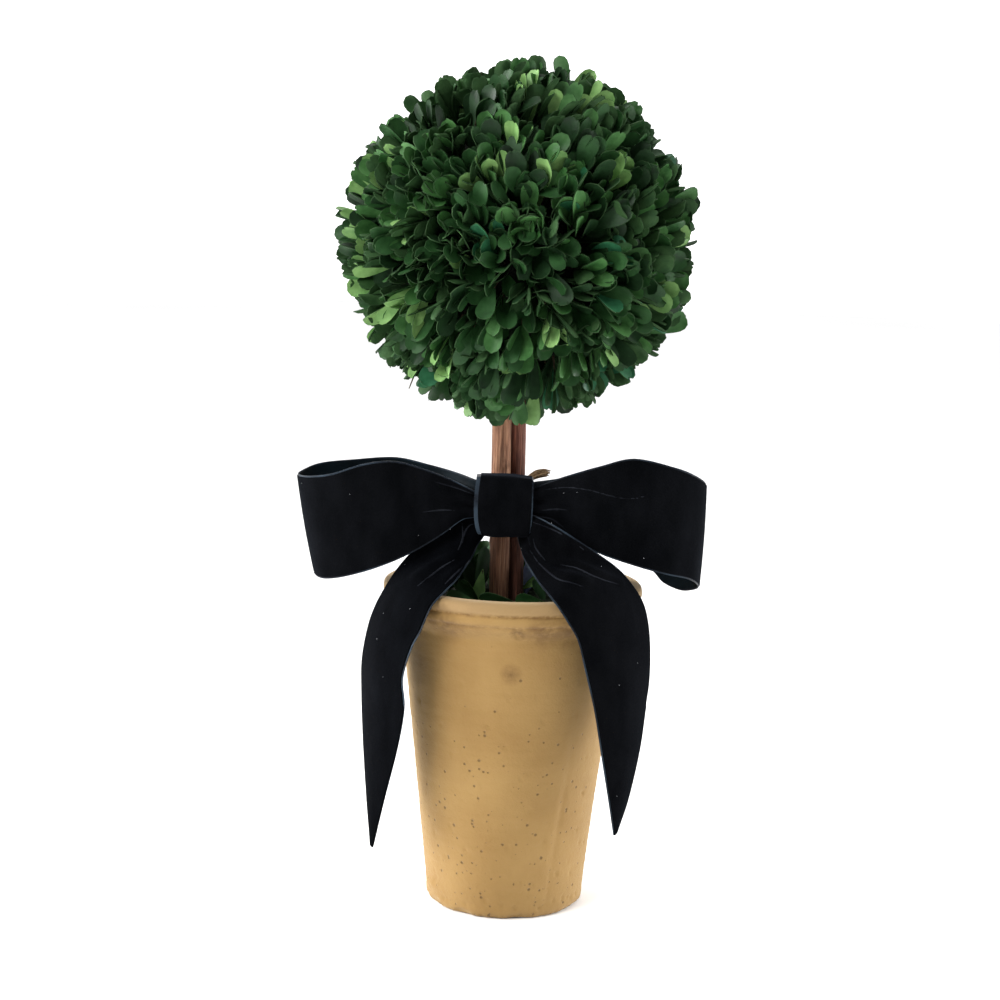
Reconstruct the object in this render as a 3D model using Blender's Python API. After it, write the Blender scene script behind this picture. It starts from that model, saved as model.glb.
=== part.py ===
"""Potted boxwood topiary: a clipped ball of leaves on a stem of two sticks, in a tapered clay pot,
with a velvet ribbon bow tied to the sticks.

Metres, +Z up. The origin is the middle of the pot's flat underside, and the bow faces -Y.
"""

import math
import random

import bmesh
import bpy
from mathutils import Vector

# Driving dimensions

SEAT_GAP = 0.0003  # between two pieces that touch on the real plant

POT_HEIGHT = 0.1294
POT_FLOOR = 0.009
POT_WALL = 0.0052
RIM_RADIUS = 0.05135  # at the swelling of the lip
LIP_DEPTH = 0.0051  # from the top down to the first groove
BAND_DEPTH = 0.0096  # from the top down to the ledge
NECK_DEPTH = 0.0159  # from the top down to where the plain wall starts
NECK_RADIUS = 0.0436
FOOT_RADIUS = 0.0307
FOOT_ROUND = 0.0009
RIM_ROUND = 0.0012  # of the rim's inner edge
POT_SIDES = 48

FILLER_TOP = 0.1170  # ground level in the pot

STICK_SIDES = 16
STICK_TOP = 0.2300
STICK_TAPER = 0.04  # of its radius, lost from foot to head
STICK_CLEARANCE = 0.0012  # from a stick to the nearest leaf
LEFT_STICK = {"radius": 0.00385, "foot": (-0.0054, -0.0025), "head": (-0.0065, -0.0025)}
RIGHT_STICK = {"radius": 0.00330, "foot": (0.0009, 0.0021), "head": (-0.0003, 0.0019)}

CROWN_CENTRE = Vector((-0.0022, 0.0, 0.2622))
CROWN_REACH = 0.0710  # from the centre to the furthest leaf tips
CORE_RADIUS = 0.0530
CORE_DETAIL = 2  # how often the core's twenty faces are split
CROWN_SPRAYS = 86
CROWN_WANDER = 0.10  # how far a spray strays from its even place, as a share of the radius
CROWN_TWIG = {"root": 0.0050, "reach": 0.0085, "radius": 0.0011}
CROWN_SEED = 11

BED_INNER = 0.0112  # the ring of leaf stalks in the pot's mouth, round the sticks
BED_OUTER = 0.0393
BED_HEIGHT = 0.0060
BED_CHAMFER = 0.0015
BED_SIDES = 20
MOUTH_RADII = (0.0165, 0.0335, 0.0250)  # of the circles that its sprays stand on, in turn
MOUTH_SPRAYS = 27
MOUTH_TOP = 0.1440  # the highest leaf tips
MOUTH_TOP_FRONT = 0.1320  # under the bow's tails
MOUTH_FRONT = -0.006  # where the tails' side starts
MOUTH_TOP_RADIUS = 0.0300  # leaves above the rim lean no further out
MOUTH_WALL_CLEARANCE = 0.0008
MOUTH_OUTWARD = (-0.1, 0.35)  # slope of a spray, out from the sticks
MOUTH_LEAF_LENGTHS = (0.0195, 0.0165)  # upright, leaning
MOUTH_UPRIGHT = 0.75  # the rise that makes a leaf count as upright
MOUTH_TWIG = {"root": 0.0030, "reach": 0.0090, "radius": 0.0010}
MOUTH_SEED = 5

LEAVES_PER_SPRAY = 4
LEAF_UPPER_LEAN = (12, 26)  # degrees from the spray's axis
LEAF_LOWER_LEAN = (34, 50)
LEAF_TURN_WANDER = 0.3  # radians either way
LEAF_LENGTH_SHARES = (0.90, 1.0)  # of the way to the outline
LEAF_WIDTH_SHARE = 0.66  # of its length
LEAF_THICKNESS_SHARE = 0.07
LEAF_TIP_LIFT = 0.10  # of its length, towards the spray's axis
LEAF_SUNK = 0.0035  # how deep a leaf's root lies below the core's skin
LEAF_SPREAD = 0.0040  # from a spray's middle to the roots of its leaves

RIBBON_THICKNESS = 0.0010
RIBBON_STEPS = 3  # rows between two stations of a ribbon
TAIL_ARCH = 0.10  # how far the middle of a tail stands out, as a share of its width
TAIL_ARCH_RISE = 0.3  # slope of that direction

KNOT_LOW = Vector((-0.0154, -0.0225, 0.1500))
KNOT_HIGH = Vector((0.0069, -0.0086, 0.1740))
KNOT_ROUND = 0.0020

TWINE_LOW = 0.1610
TWINE_HIGH = 0.1680
TWINE_THICKNESS = 0.0016
TWINE_END = (Vector((0.0053, 0.0020, 0.1660)), Vector((0.0130, 0.0020, 0.1735)))
TWINE_END_RADII = ((0, 0.0008), (0.5, 0.0009), (1, 0.0018))  # share of its length, radius

CLAY = (0.56, 0.40, 0.22)
FOAM = (0.10, 0.13, 0.06)
BARK = (0.22, 0.11, 0.06)
LEAF_GREEN = (0.03, 0.10, 0.03)
NAVY = (0.008, 0.010, 0.020)
JUTE = (0.42, 0.28, 0.15)


def clear_scene():
    for thing in list(bpy.data.objects):
        bpy.data.objects.remove(thing)


def finish(name, colour, roughness):
    material = bpy.data.materials.new(name)
    material.use_nodes = True
    shader = material.node_tree.nodes["Principled BSDF"]
    shader.inputs["Base Color"].default_value = (*colour, 1)
    shader.inputs["Roughness"].default_value = roughness
    shader.inputs["Metallic"].default_value = 0
    material.diffuse_color = (*colour, 1)
    return material


def add_object(name, shape, colour, roughness, smooth_under=math.radians(40)):
    """Turns a bmesh into a named object of the scene, shaded smooth between its sharp edges."""
    mesh = bpy.data.meshes.new(name)
    shape.to_mesh(mesh)
    shape.free()
    mesh.shade_smooth()
    mesh.set_sharp_from_angle(angle=smooth_under)
    mesh.materials.append(finish(name, colour, roughness))
    made = bpy.data.objects.new(name, mesh)
    bpy.context.scene.collection.objects.link(made)
    return made


def skin(shape, rings, closed_across=True):
    """Bridges rings of as many points each, and closes the first and the last ring with a face."""
    rows = [[shape.verts.new(point) for point in ring] for ring in rings]
    count = len(rows[0])
    for low, high in zip(rows, rows[1:]):
        for i in range(count if closed_across else count - 1):
            j = (i + 1) % count
            shape.faces.new((low[i], low[j], high[j], high[i]))
    if closed_across:
        shape.faces.new(rows[0][::-1])
        shape.faces.new(rows[-1])


# The pot and what fills it


def wall_radius(height):
    """The plain tapered wall's outer radius at a height."""
    neck_height = POT_HEIGHT - NECK_DEPTH
    return FOOT_RADIUS + (NECK_RADIUS - FOOT_RADIUS) * height / neck_height


def inner_radius(height):
    """The pot's inner radius: the plain wall's, and wider where the rim flares."""
    flare_start = POT_HEIGHT - NECK_DEPTH
    inner_rim = RIM_RADIUS - POT_WALL - RIM_ROUND
    if height <= flare_start:
        return wall_radius(height) - POT_WALL
    share = (height - flare_start) / NECK_DEPTH
    inner_neck = wall_radius(flare_start) - POT_WALL
    return inner_neck + (inner_rim - inner_neck) * share


def pot_outline():
    """The pot's half section, from its floor up the inside, over the rim and down to the underside."""
    neck_height = POT_HEIGHT - NECK_DEPTH
    inside = [
        (0, POT_FLOOR),
        (inner_radius(POT_FLOOR), POT_FLOOR),
        (inner_radius(neck_height), neck_height),
        (inner_radius(POT_HEIGHT), POT_HEIGHT - RIM_ROUND),
        (inner_radius(POT_HEIGHT) + RIM_ROUND, POT_HEIGHT),
    ]
    lip = [
        (RIM_RADIUS - 0.0022, POT_HEIGHT),
        (RIM_RADIUS - 0.0006, POT_HEIGHT - 0.0009),
        (RIM_RADIUS, POT_HEIGHT - 0.0030),
        (RIM_RADIUS - 0.0003, POT_HEIGHT - LIP_DEPTH + 0.0003),
        (RIM_RADIUS - 0.0008, POT_HEIGHT - LIP_DEPTH),
    ]
    bands = [
        (RIM_RADIUS - 0.0006, POT_HEIGHT - LIP_DEPTH - 0.0006),
        (RIM_RADIUS - 0.0014, POT_HEIGHT - BAND_DEPTH + 0.0004),
        (RIM_RADIUS - 0.0022, POT_HEIGHT - BAND_DEPTH - 0.0002),
        (RIM_RADIUS - 0.0034, POT_HEIGHT - BAND_DEPTH - 0.0016),
        (NECK_RADIUS + 0.0016, neck_height + 0.0018),
        (NECK_RADIUS, neck_height),
    ]
    foot = [
        (wall_radius(0.0055), 0.0055),
        (FOOT_RADIUS + 0.0008, 0.0032),
        (FOOT_RADIUS + 0.0004, FOOT_ROUND),
        (FOOT_RADIUS - FOOT_ROUND, 0),
        (0, 0),
    ]
    return inside + lip + bands + foot


def filler_outline():
    """The foam that fills the pot, clear of its wall and floor all round."""
    bottom = POT_FLOOR + SEAT_GAP
    neck_height = POT_HEIGHT - NECK_DEPTH
    side_gap = SEAT_GAP * 1.2
    return [
        (0, FILLER_TOP),
        (inner_radius(FILLER_TOP) - side_gap, FILLER_TOP),
        (inner_radius(neck_height) - side_gap, neck_height),
        (inner_radius(bottom) - side_gap, bottom),
        (0, bottom),
    ]


def turned(name, outline, colour, roughness):
    """Turns a half section about the Z axis. The section runs down its outer side."""
    shape = bmesh.new()
    points = [shape.verts.new((radius, 0, height)) for radius, height in outline]
    for first, second in zip(points, points[1:]):
        shape.edges.new((first, second))
    piece = add_object(name, shape, colour, roughness)
    screw = piece.modifiers.new("turn", "SCREW")
    screw.steps = screw.render_steps = POT_SIDES
    screw.use_merge_vertices = True
    screw.merge_threshold = 0.00001
    screw.use_smooth_shade = True
    return piece


# The stem of two sticks


def stick_share(height):
    """How far up a stick a height is: 0 at ground level and 1 at the top."""
    return (height - FILLER_TOP) / (STICK_TOP - FILLER_TOP)


def stick_middle(stick, height):
    return Vector(stick["foot"]).lerp(Vector(stick["head"]), stick_share(height))


def stick_radius(stick, height):
    return stick["radius"] * (1 + STICK_TAPER * (0.5 - stick_share(height)))


def ring(middle, radius, height, sides):
    return [
        Vector((
            middle.x + radius * math.cos(math.tau * i / sides),
            middle.y + radius * math.sin(math.tau * i / sides),
            height,
        ))
        for i in range(sides)
    ]


def stick_rings(stick, low, high, spare=0.0):
    """Level rings up a stick, wider by spare."""
    rings = []
    for height in (low, (low + high) / 2, high):
        radius = stick_radius(stick, height) + spare
        rings.append(ring(stick_middle(stick, height), radius, height, STICK_SIDES))
    return rings


def stem_stick(name, stick):
    shape = bmesh.new()
    skin(shape, stick_rings(stick, FILLER_TOP + SEAT_GAP, STICK_TOP))
    return add_object(name, shape, BARK, 0.8)


# Leaves, twigs and the masses they make


def any_normal(direction):
    """A unit vector at right angles to a direction."""
    helper = Vector((0, 0, 1)) if abs(direction.z) < 0.9 else Vector((1, 0, 0))
    return direction.cross(helper).normalized()


def leaf_shape(root, along, face, length):
    """A spoon-shaped leaf: five points round its edge and a ridge point on each side of its middle."""
    side = along.cross(face).normalized()
    half = length * LEAF_WIDTH_SHARE / 2
    lift = face * length * LEAF_TIP_LIFT
    edge = [
        root,
        root + along * length * 0.60 + side * half,
        root + along * length * 0.98 + side * half * 0.50 + lift,
        root + along * length * 0.98 - side * half * 0.50 + lift,
        root + along * length * 0.60 - side * half,
    ]
    middle = root + along * length * 0.58
    thickness = length * LEAF_THICKNESS_SHARE
    shape = bmesh.new()
    rim = [shape.verts.new(point) for point in edge]
    upper = shape.verts.new(middle + face * thickness * 0.35)
    lower = shape.verts.new(middle - face * thickness * 0.65)
    for i, first in enumerate(rim):
        second = rim[(i + 1) % len(rim)]
        shape.faces.new((first, second, upper))
        shape.faces.new((second, first, lower))
    bmesh.ops.recalc_face_normals(shape, faces=shape.faces)
    return shape


def twig_shape(root, tip, radius):
    """A three-sided twig that tapers to its tip."""
    along = (tip - root).normalized()
    across = any_normal(along)
    beside = along.cross(across)
    shape = bmesh.new()
    foot = [
        shape.verts.new(root + (across * math.cos(turn) + beside * math.sin(turn)) * radius)
        for turn in (0, math.tau / 3, 2 * math.tau / 3)
    ]
    point = shape.verts.new(tip)
    shape.faces.new(foot[::-1])
    for i, first in enumerate(foot):
        shape.faces.new((first, foot[(i + 1) % 3], point))
    bmesh.ops.recalc_face_normals(shape, faces=shape.faces)
    return shape


def near_stick(point):
    """Whether a point comes too close to the side of a stick."""
    for stick in (LEFT_STICK, RIGHT_STICK):
        middle = stick_middle(stick, point.z)
        away = math.hypot(point.x - middle.x, point.y - middle.y)
        if point.z < STICK_TOP and away < stick_radius(stick, point.z) + STICK_CLEARANCE:
            return True
    return False


def spray_leaves(base, axis, rng, reach_of, in_space):
    """The leaves of one spray as (root, along, face, length).

    They stand in pairs round the axis, the lower pair spread wider. A leaf is as long as
    reach_of allows in its direction, and one that would leave its space is skipped."""
    first_turn = rng.uniform(0, math.tau)
    across = any_normal(axis)
    beside = axis.cross(across)
    leaves = []
    for number in range(LEAVES_PER_SPRAY):
        lower_pair = number % 2
        turn = first_turn + math.tau * number / LEAVES_PER_SPRAY
        turn += rng.uniform(-LEAF_TURN_WANDER, LEAF_TURN_WANDER)
        outward = across * math.cos(turn) + beside * math.sin(turn)
        lean = math.radians(rng.uniform(*(LEAF_LOWER_LEAN if lower_pair else LEAF_UPPER_LEAN)))
        along = axis * math.cos(lean) + outward * math.sin(lean)
        face = axis * math.sin(lean) - outward * math.cos(lean)
        root = base + outward * LEAF_SPREAD - along * LEAF_SUNK
        length = reach_of(root, along) * rng.uniform(*LEAF_LENGTH_SHARES)
        side = along.cross(face) * length * LEAF_WIDTH_SHARE / 2
        corners = [root + along * length * share for share in (0.3, 0.6, 1.0)]
        corners += [corners[1] + side, corners[1] - side]
        if all(in_space(corner) for corner in corners):
            leaves.append((root, along, face, length))
    return leaves


def even_directions(count):
    """Directions spread evenly over a sphere."""
    golden = math.pi * (3 - math.sqrt(5))
    for i in range(count):
        level = 1 - 2 * (i + 0.5) / count
        flat = math.sqrt(1 - level * level)
        yield Vector((flat * math.cos(golden * i), flat * math.sin(golden * i), level))


def crown_shapes():
    """Twigs and leaves that stand out of the crown's core."""
    rng = random.Random(CROWN_SEED)

    def reach_of(root, along):
        """How far a leaf runs from its root to the crown's outline."""
        inward = root - CROWN_CENTRE
        slope = inward.dot(along)
        return -slope + math.sqrt(slope * slope + CROWN_REACH**2 - inward.length_squared)

    def in_space(point):
        inside = (point - CROWN_CENTRE).length <= CROWN_REACH + 0.0001
        return inside and not near_stick(point)

    shapes = []
    for direction in even_directions(CROWN_SPRAYS):
        wander = Vector((rng.gauss(0, 1), rng.gauss(0, 1), rng.gauss(0, 1))) * CROWN_WANDER
        axis = (direction + wander).normalized()
        base = CROWN_CENTRE + axis * CORE_RADIUS
        twig_root = base - axis * CROWN_TWIG["root"]
        twig_tip = base + axis * CROWN_TWIG["reach"]
        if in_space(twig_tip) and in_space(base):
            shapes.append(twig_shape(twig_root, twig_tip, CROWN_TWIG["radius"]))
        for leaf in spray_leaves(base, axis, rng, reach_of, in_space):
            shapes.append(leaf_shape(*leaf))
    return shapes


def mouth_shapes():
    """Twigs and leaves that stand up from the bed in the pot's mouth, round the sticks."""
    rng = random.Random(MOUTH_SEED)
    bed_top = FILLER_TOP + BED_HEIGHT

    def reach_of(root, along):
        upright, leaning = MOUTH_LEAF_LENGTHS
        return upright if along.z > MOUTH_UPRIGHT else leaning

    def in_space(point):
        radius = math.hypot(point.x, point.y)
        if point.z > POT_HEIGHT - RIM_ROUND:
            widest = MOUTH_TOP_RADIUS
        else:
            widest = inner_radius(point.z) - MOUTH_WALL_CLEARANCE
        top = MOUTH_TOP_FRONT if point.y < MOUTH_FRONT else MOUTH_TOP
        return radius < widest and point.z < top and not near_stick(point)

    shapes = []
    for number in range(MOUTH_SPRAYS):
        turn = math.tau * number / MOUTH_SPRAYS
        radius = MOUTH_RADII[number % len(MOUTH_RADII)]
        base = Vector((radius * math.cos(turn), radius * math.sin(turn), bed_top))
        outward = Vector((math.cos(turn), math.sin(turn), 0))
        axis = (Vector((0, 0, 1)) + outward * rng.uniform(*MOUTH_OUTWARD)).normalized()
        twig_root = base - axis * MOUTH_TWIG["root"]
        twig_tip = base + axis * MOUTH_TWIG["reach"]
        shapes.append(twig_shape(twig_root, twig_tip, MOUTH_TWIG["radius"]))
        for leaf in spray_leaves(base, axis, rng, reach_of, in_space):
            shapes.append(leaf_shape(*leaf))
    return shapes


def apply_boolean(target, operation, **operand):
    """Joins or cuts with Blender's Boolean, and keeps the result as the target's own mesh."""
    join = target.modifiers.new(operation.lower(), "BOOLEAN")
    join.operation = operation
    join.solver = "MANIFOLD"
    for setting, value in operand.items():
        setattr(join, setting, value)
    bpy.context.view_layer.update()
    graph = bpy.context.evaluated_depsgraph_get()
    mesh = bpy.data.meshes.new_from_object(target.evaluated_get(graph))
    target.modifiers.clear()
    target.data = mesh


def keep_outer_skin(target):
    """Keeps the largest skin only: a hollow that the union sealed is filled, and a scrap dropped."""
    shape = bmesh.new()
    shape.from_mesh(target.data)
    left = set(shape.verts)
    skins = []
    while left:
        skin_verts = {left.pop()}
        front = list(skin_verts)
        while front:
            vert = front.pop()
            for edge in vert.link_edges:
                other = edge.other_vert(vert)
                if other in left:
                    left.remove(other)
                    skin_verts.add(other)
                    front.append(other)
        skins.append(skin_verts)
    largest = max(skins, key=len)
    extra = [vert for vert in shape.verts if vert not in largest]
    bmesh.ops.delete(shape, geom=extra, context="VERTS")
    shape.to_mesh(target.data)
    shape.free()


def fused(core, shapes):
    """Fuses every leaf and twig with the core in one Boolean union."""
    joined = bpy.data.collections.new(core.name + "_leaves")
    bpy.context.scene.collection.children.link(joined)
    for number, shape in enumerate(shapes):
        mesh = bpy.data.meshes.new(f"leaf_{number}")
        shape.to_mesh(mesh)
        shape.free()
        joined.objects.link(bpy.data.objects.new(f"leaf_{number}", mesh))
    apply_boolean(core, "UNION", operand_type="COLLECTION", collection=joined)
    for leaf in list(joined.objects):
        bpy.data.objects.remove(leaf)
    bpy.data.collections.remove(joined)
    keep_outer_skin(core)


def cut_stick_sockets(core):
    """Cuts the holes that the sticks stand in, clear of them all round and over their tops."""
    for number, stick in enumerate((LEFT_STICK, RIGHT_STICK)):
        shape = bmesh.new()
        low = CROWN_CENTRE.z - CROWN_REACH
        skin(shape, stick_rings(stick, low, STICK_TOP + SEAT_GAP, spare=SEAT_GAP))
        cutter = add_object(f"socket_{number}", shape, BARK, 1)
        apply_boolean(core, "DIFFERENCE", operand_type="OBJECT", object=cutter)
        bpy.data.objects.remove(cutter)


def foliage_ball():
    """The clipped crown: one dense mass round a round core."""
    shape = bmesh.new()
    bmesh.ops.create_icosphere(shape, subdivisions=CORE_DETAIL, radius=CORE_RADIUS)
    bmesh.ops.translate(shape, verts=shape.verts, vec=CROWN_CENTRE)
    ball = add_object("foliage_ball", shape, LEAF_GREEN, 0.6)
    fused(ball, crown_shapes())
    cut_stick_sockets(ball)
    keep_outer_skin(ball)
    return ball


def mouth_foliage():
    """The leaves in the pot's mouth, on a low ring that lies on the foam."""
    low = FILLER_TOP + SEAT_GAP
    high = FILLER_TOP + BED_HEIGHT
    section = [
        (BED_INNER, high - BED_CHAMFER),
        (BED_INNER + BED_CHAMFER, high),
        (BED_OUTER - BED_CHAMFER, high),
        (BED_OUTER, high - BED_CHAMFER),
        (BED_OUTER, low),
        (BED_INNER, low),
    ]
    shape = bmesh.new()
    rows = []
    for i in range(BED_SIDES):
        turn = math.tau * i / BED_SIDES
        rows.append([
            shape.verts.new((radius * math.cos(turn), radius * math.sin(turn), height))
            for radius, height in section
        ])
    for i, row in enumerate(rows):
        beside = rows[(i + 1) % BED_SIDES]
        for j in range(len(section)):
            k = (j + 1) % len(section)
            shape.faces.new((row[j], row[k], beside[k], beside[j]))
    bmesh.ops.recalc_face_normals(shape, faces=shape.faces)
    bed = add_object("mouth_foliage", shape, LEAF_GREEN, 0.6)
    fused(bed, mouth_shapes())
    return bed


# The ribbon bow. A station holds one edge point of the ribbon and the other, in millimetres.

MM = 0.001

LEFT_LOOP = (  # upper edge, lower edge: from the knot along the front, round the end and back
    ((-15.9, -16.5, 167.3), (-15.9, -16.5, 156.0)),
    ((-23.6, -18.5, 171.2), (-20.5, -18.0, 155.0)),
    ((-33.2, -20.5, 175.2), (-29.0, -20.0, 149.0)),
    ((-46.2, -23.0, 178.3), (-41.0, -22.0, 141.9)),
    ((-58.5, -22.5, 176.9), (-53.0, -21.0, 136.3)),
    ((-70.8, -20.0, 172.5), (-65.0, -17.5, 132.0)),
    ((-80.0, -15.0, 170.6), (-73.5, -12.5, 129.9)),
    ((-85.0, -8.0, 170.3), (-77.8, -5.5, 130.1)),
    ((-83.5, -1.5, 171.4), (-76.5, 0.5, 131.0)),
    ((-77.0, 3.5, 173.6), (-70.0, 4.5, 132.5)),
    ((-64.0, 6.0, 175.0), (-58.0, 6.0, 136.0)),
    ((-47.7, 6.0, 176.3), (-43.0, 5.5, 142.0)),
    ((-34.0, 3.0, 174.0), (-31.0, 3.0, 148.0)),
    ((-24.0, -3.5, 171.5), (-22.5, -4.0, 153.5)),
    ((-15.9, -11.5, 168.5), (-15.9, -11.5, 156.5)),
)

RIGHT_LOOP = (  # as the left one, but its end is turned so that the back hangs lower
    ((7.4, -16.5, 167.8), (7.4, -16.5, 156.2)),
    ((14.2, -18.0, 171.2), (13.5, -18.0, 153.8)),
    ((19.6, -19.5, 173.6), (19.5, -19.5, 151.2)),
    ((31.9, -22.0, 178.5), (32.3, -22.0, 144.8)),
    ((45.0, -23.5, 181.5), (46.7, -23.0, 140.3)),
    ((60.8, -21.0, 178.7), (59.0, -21.5, 137.0)),
    ((69.0, -15.5, 175.2), (68.0, -16.0, 134.5)),
    ((74.0, -8.0, 171.2), (72.5, -8.0, 131.0)),
    ((72.5, -1.5, 168.5), (72.6, -1.0, 128.6)),
    ((66.0, 3.5, 168.0), (67.0, 3.8, 126.8)),
    ((58.0, 5.5, 169.5), (59.5, 6.0, 131.0)),
    ((45.0, 5.5, 172.0), (46.5, 6.0, 136.5)),
    ((30.0, 3.0, 172.5), (31.0, 3.0, 143.5)),
    ((16.5, -4.0, 170.0), (17.0, -4.0, 152.0)),
    ((7.4, -11.5, 168.0), (7.4, -11.5, 156.2)),
)

LEFT_TAIL = (  # outer edge, inner edge: from under the knot, over the pot's rim, down to the tip
    ((-14.2, -12.5, 149.3), (-9.5, -12.5, 149.3)),
    ((-20.5, -12.5, 148.6), (-12.7, -14.5, 146.3)),
    ((-31.0, -12.5, 145.8), (-16.2, -20.0, 141.1)),
    ((-40.8, -13.0, 139.8), (-21.1, -31.0, 135.0)),
    ((-46.5, -14.0, 133.2), (-25.5, -40.0, 131.6)),
    ((-50.8, -14.5, 127.0), (-30.4, -45.5, 126.7)),
    ((-53.6, -12.5, 119.5), (-34.4, -45.5, 117.0)),
    ((-56.4, -10.0, 110.5), (-37.8, -44.5, 109.8)),
    ((-58.4, -9.0, 98.0), (-40.8, -43.5, 98.0)),
    ((-58.4, -9.0, 86.0), (-40.0, -43.0, 86.5)),
    ((-57.4, -10.0, 66.5), (-42.6, -37.0, 69.0)),
    ((-55.4, -13.0, 43.5), (-47.9, -27.5, 45.0)),
    ((-53.2, -18.0, 25.0), (-52.2, -19.5, 24.0)),
)

RIGHT_TAIL = (
    ((5.6, -14.0, 149.3), (0.8, -14.0, 149.3)),
    ((10.8, -16.0, 150.0), (3.8, -16.0, 146.8)),
    ((20.0, -19.0, 147.4), (5.1, -22.0, 141.1)),
    ((32.3, -21.5, 142.2), (8.8, -34.0, 135.2)),
    ((41.8, -22.0, 136.9), (13.3, -44.5, 131.9)),
    ((47.5, -22.0, 131.6), (17.0, -50.0, 128.2)),
    ((50.6, -22.0, 125.5), (20.3, -51.5, 123.6)),
    ((52.8, -22.0, 117.5), (24.6, -50.5, 116.2)),
    ((53.8, -23.0, 107.5), (27.4, -49.5, 106.0)),
    ((53.8, -24.0, 95.8), (30.7, -49.0, 93.6)),
    ((52.6, -26.0, 85.8), (32.6, -48.0, 85.2)),
    ((50.6, -29.0, 69.2), (35.2, -46.0, 71.0)),
    ((46.8, -32.0, 50.7), (38.8, -41.0, 52.0)),
    ((42.7, -35.6, 38.4), (41.5, -36.6, 37.0)),
)


def smooth_row(points, steps):
    """Points on a smooth curve through all the given ones, with steps rows to each span."""
    ends = [points[0] * 2 - points[1]] + points + [points[-1] * 2 - points[-2]]
    row = []
    for before, start, end, after in zip(ends, ends[1:], ends[2:], ends[3:]):
        for step in range(steps):
            t = step / steps
            row.append((
                start * 2
                + (end - before) * t
                + (before * 2 - start * 5 + end * 4 - after) * t**2
                + (start * 3 - before - end * 3 + after) * t**3
            ) / 2)
    return row + [points[-1]]


def ribbon(name, stations, arch=0.0):
    """A strip of ribbon through its stations. With an arch its middle stands out from the pot's axis."""
    first_edge = smooth_row([Vector(first) * MM for first, _ in stations], RIBBON_STEPS)
    second_edge = smooth_row([Vector(second) * MM for _, second in stations], RIBBON_STEPS)
    rows = []
    for first, second in zip(first_edge, second_edge):
        middle = (first + second) / 2
        rise = TAIL_ARCH_RISE * middle.to_2d().length
        outward = Vector((middle.x, middle.y, rise)).normalized()
        rows.append([first, middle + outward * (first - second).length * arch, second])
    shape = bmesh.new()
    skin(shape, rows, closed_across=False)
    strip = add_object(name, shape, NAVY, 0.9)
    solid = strip.modifiers.new("thickness", "SOLIDIFY")
    solid.thickness = RIBBON_THICKNESS
    solid.offset = 0
    solid.use_even_offset = True
    return strip


def bow_knot():
    """The ribbon wrapped over the middle of the bow."""
    shape = bmesh.new()
    bmesh.ops.create_cube(shape, size=1)
    size = KNOT_HIGH - KNOT_LOW
    bmesh.ops.scale(shape, vec=size, verts=shape.verts)
    bmesh.ops.translate(shape, vec=(KNOT_LOW + KNOT_HIGH) / 2, verts=shape.verts)
    knot = add_object("bow_knot", shape, NAVY, 0.9)
    bevel = knot.modifiers.new("round", "BEVEL")
    bevel.width = KNOT_ROUND
    bevel.segments = 3
    return knot


def round_the_sticks(spare, height, sides=24):
    """An outline laid tight round both sticks at a height, spare away from them."""
    sticks = [
        (stick_middle(stick, height), stick_radius(stick, height))
        for stick in (LEFT_STICK, RIGHT_STICK)
    ]
    outline = []
    for i in range(sides):
        turn = math.tau * i / sides
        away = Vector((math.cos(turn), math.sin(turn)))
        middle, radius = max(sticks, key=lambda held: held[0].dot(away) + held[1])
        flat = middle + away * (radius + spare)
        outline.append(Vector((flat.x, flat.y, height)))
    return outline


def twine_tie():
    """The twine that ties the bow to the sticks, with its frayed end standing up on the right."""
    inner = SEAT_GAP * 1.3
    outer = inner + TWINE_THICKNESS
    shape = bmesh.new()
    walls = [
        round_the_sticks(inner, TWINE_LOW),
        round_the_sticks(outer, TWINE_LOW),
        round_the_sticks(outer, TWINE_HIGH),
        round_the_sticks(inner, TWINE_HIGH),
    ]
    rows = [[shape.verts.new(point) for point in wall] for wall in walls]
    for i, row in enumerate(rows):
        above = rows[(i + 1) % len(rows)]
        for j in range(len(row)):
            k = (j + 1) % len(row)
            shape.faces.new((row[j], row[k], above[k], above[j]))
    bmesh.ops.recalc_face_normals(shape, faces=shape.faces)
    tie = add_object("twine_tie", shape, JUTE, 0.9)

    low, high = TWINE_END
    along = (high - low).normalized()
    across = any_normal(along)
    beside = along.cross(across)
    shape = bmesh.new()
    rings = []
    for share, radius in TWINE_END_RADII:
        middle = low.lerp(high, share)
        turns = [math.tau * i / 8 for i in range(8)]
        rings.append([
            middle + (across * math.cos(turn) + beside * math.sin(turn)) * radius
            for turn in turns
        ])
    skin(shape, rings)
    bmesh.ops.recalc_face_normals(shape, faces=shape.faces)
    end = add_object("twine_end", shape, JUTE, 0.9)
    apply_boolean(tie, "UNION", operand_type="OBJECT", object=end)
    bpy.data.objects.remove(end)
    return tie


clear_scene()
turned("pot", pot_outline(), CLAY, 0.85)
turned("pot_filler", filler_outline(), FOAM, 0.95)
stem_stick("trunk_left", LEFT_STICK)
stem_stick("trunk_right", RIGHT_STICK)
foliage_ball()
mouth_foliage()
bow_knot()
ribbon("bow_loop_left", LEFT_LOOP)
ribbon("bow_loop_right", RIGHT_LOOP)
ribbon("bow_tail_left", LEFT_TAIL, TAIL_ARCH)
ribbon("bow_tail_right", RIGHT_TAIL, TAIL_ARCH)
twine_tie()
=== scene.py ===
"""The looks of a potted boxwood topiary with a velvet bow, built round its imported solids.

Metres, +Z up. The origin is the middle of the pot's flat underside, and the bow faces -Y.
"""

import math
import random

import bmesh
import bpy
import numpy as np
from mathutils import Matrix, Vector, noise


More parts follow.
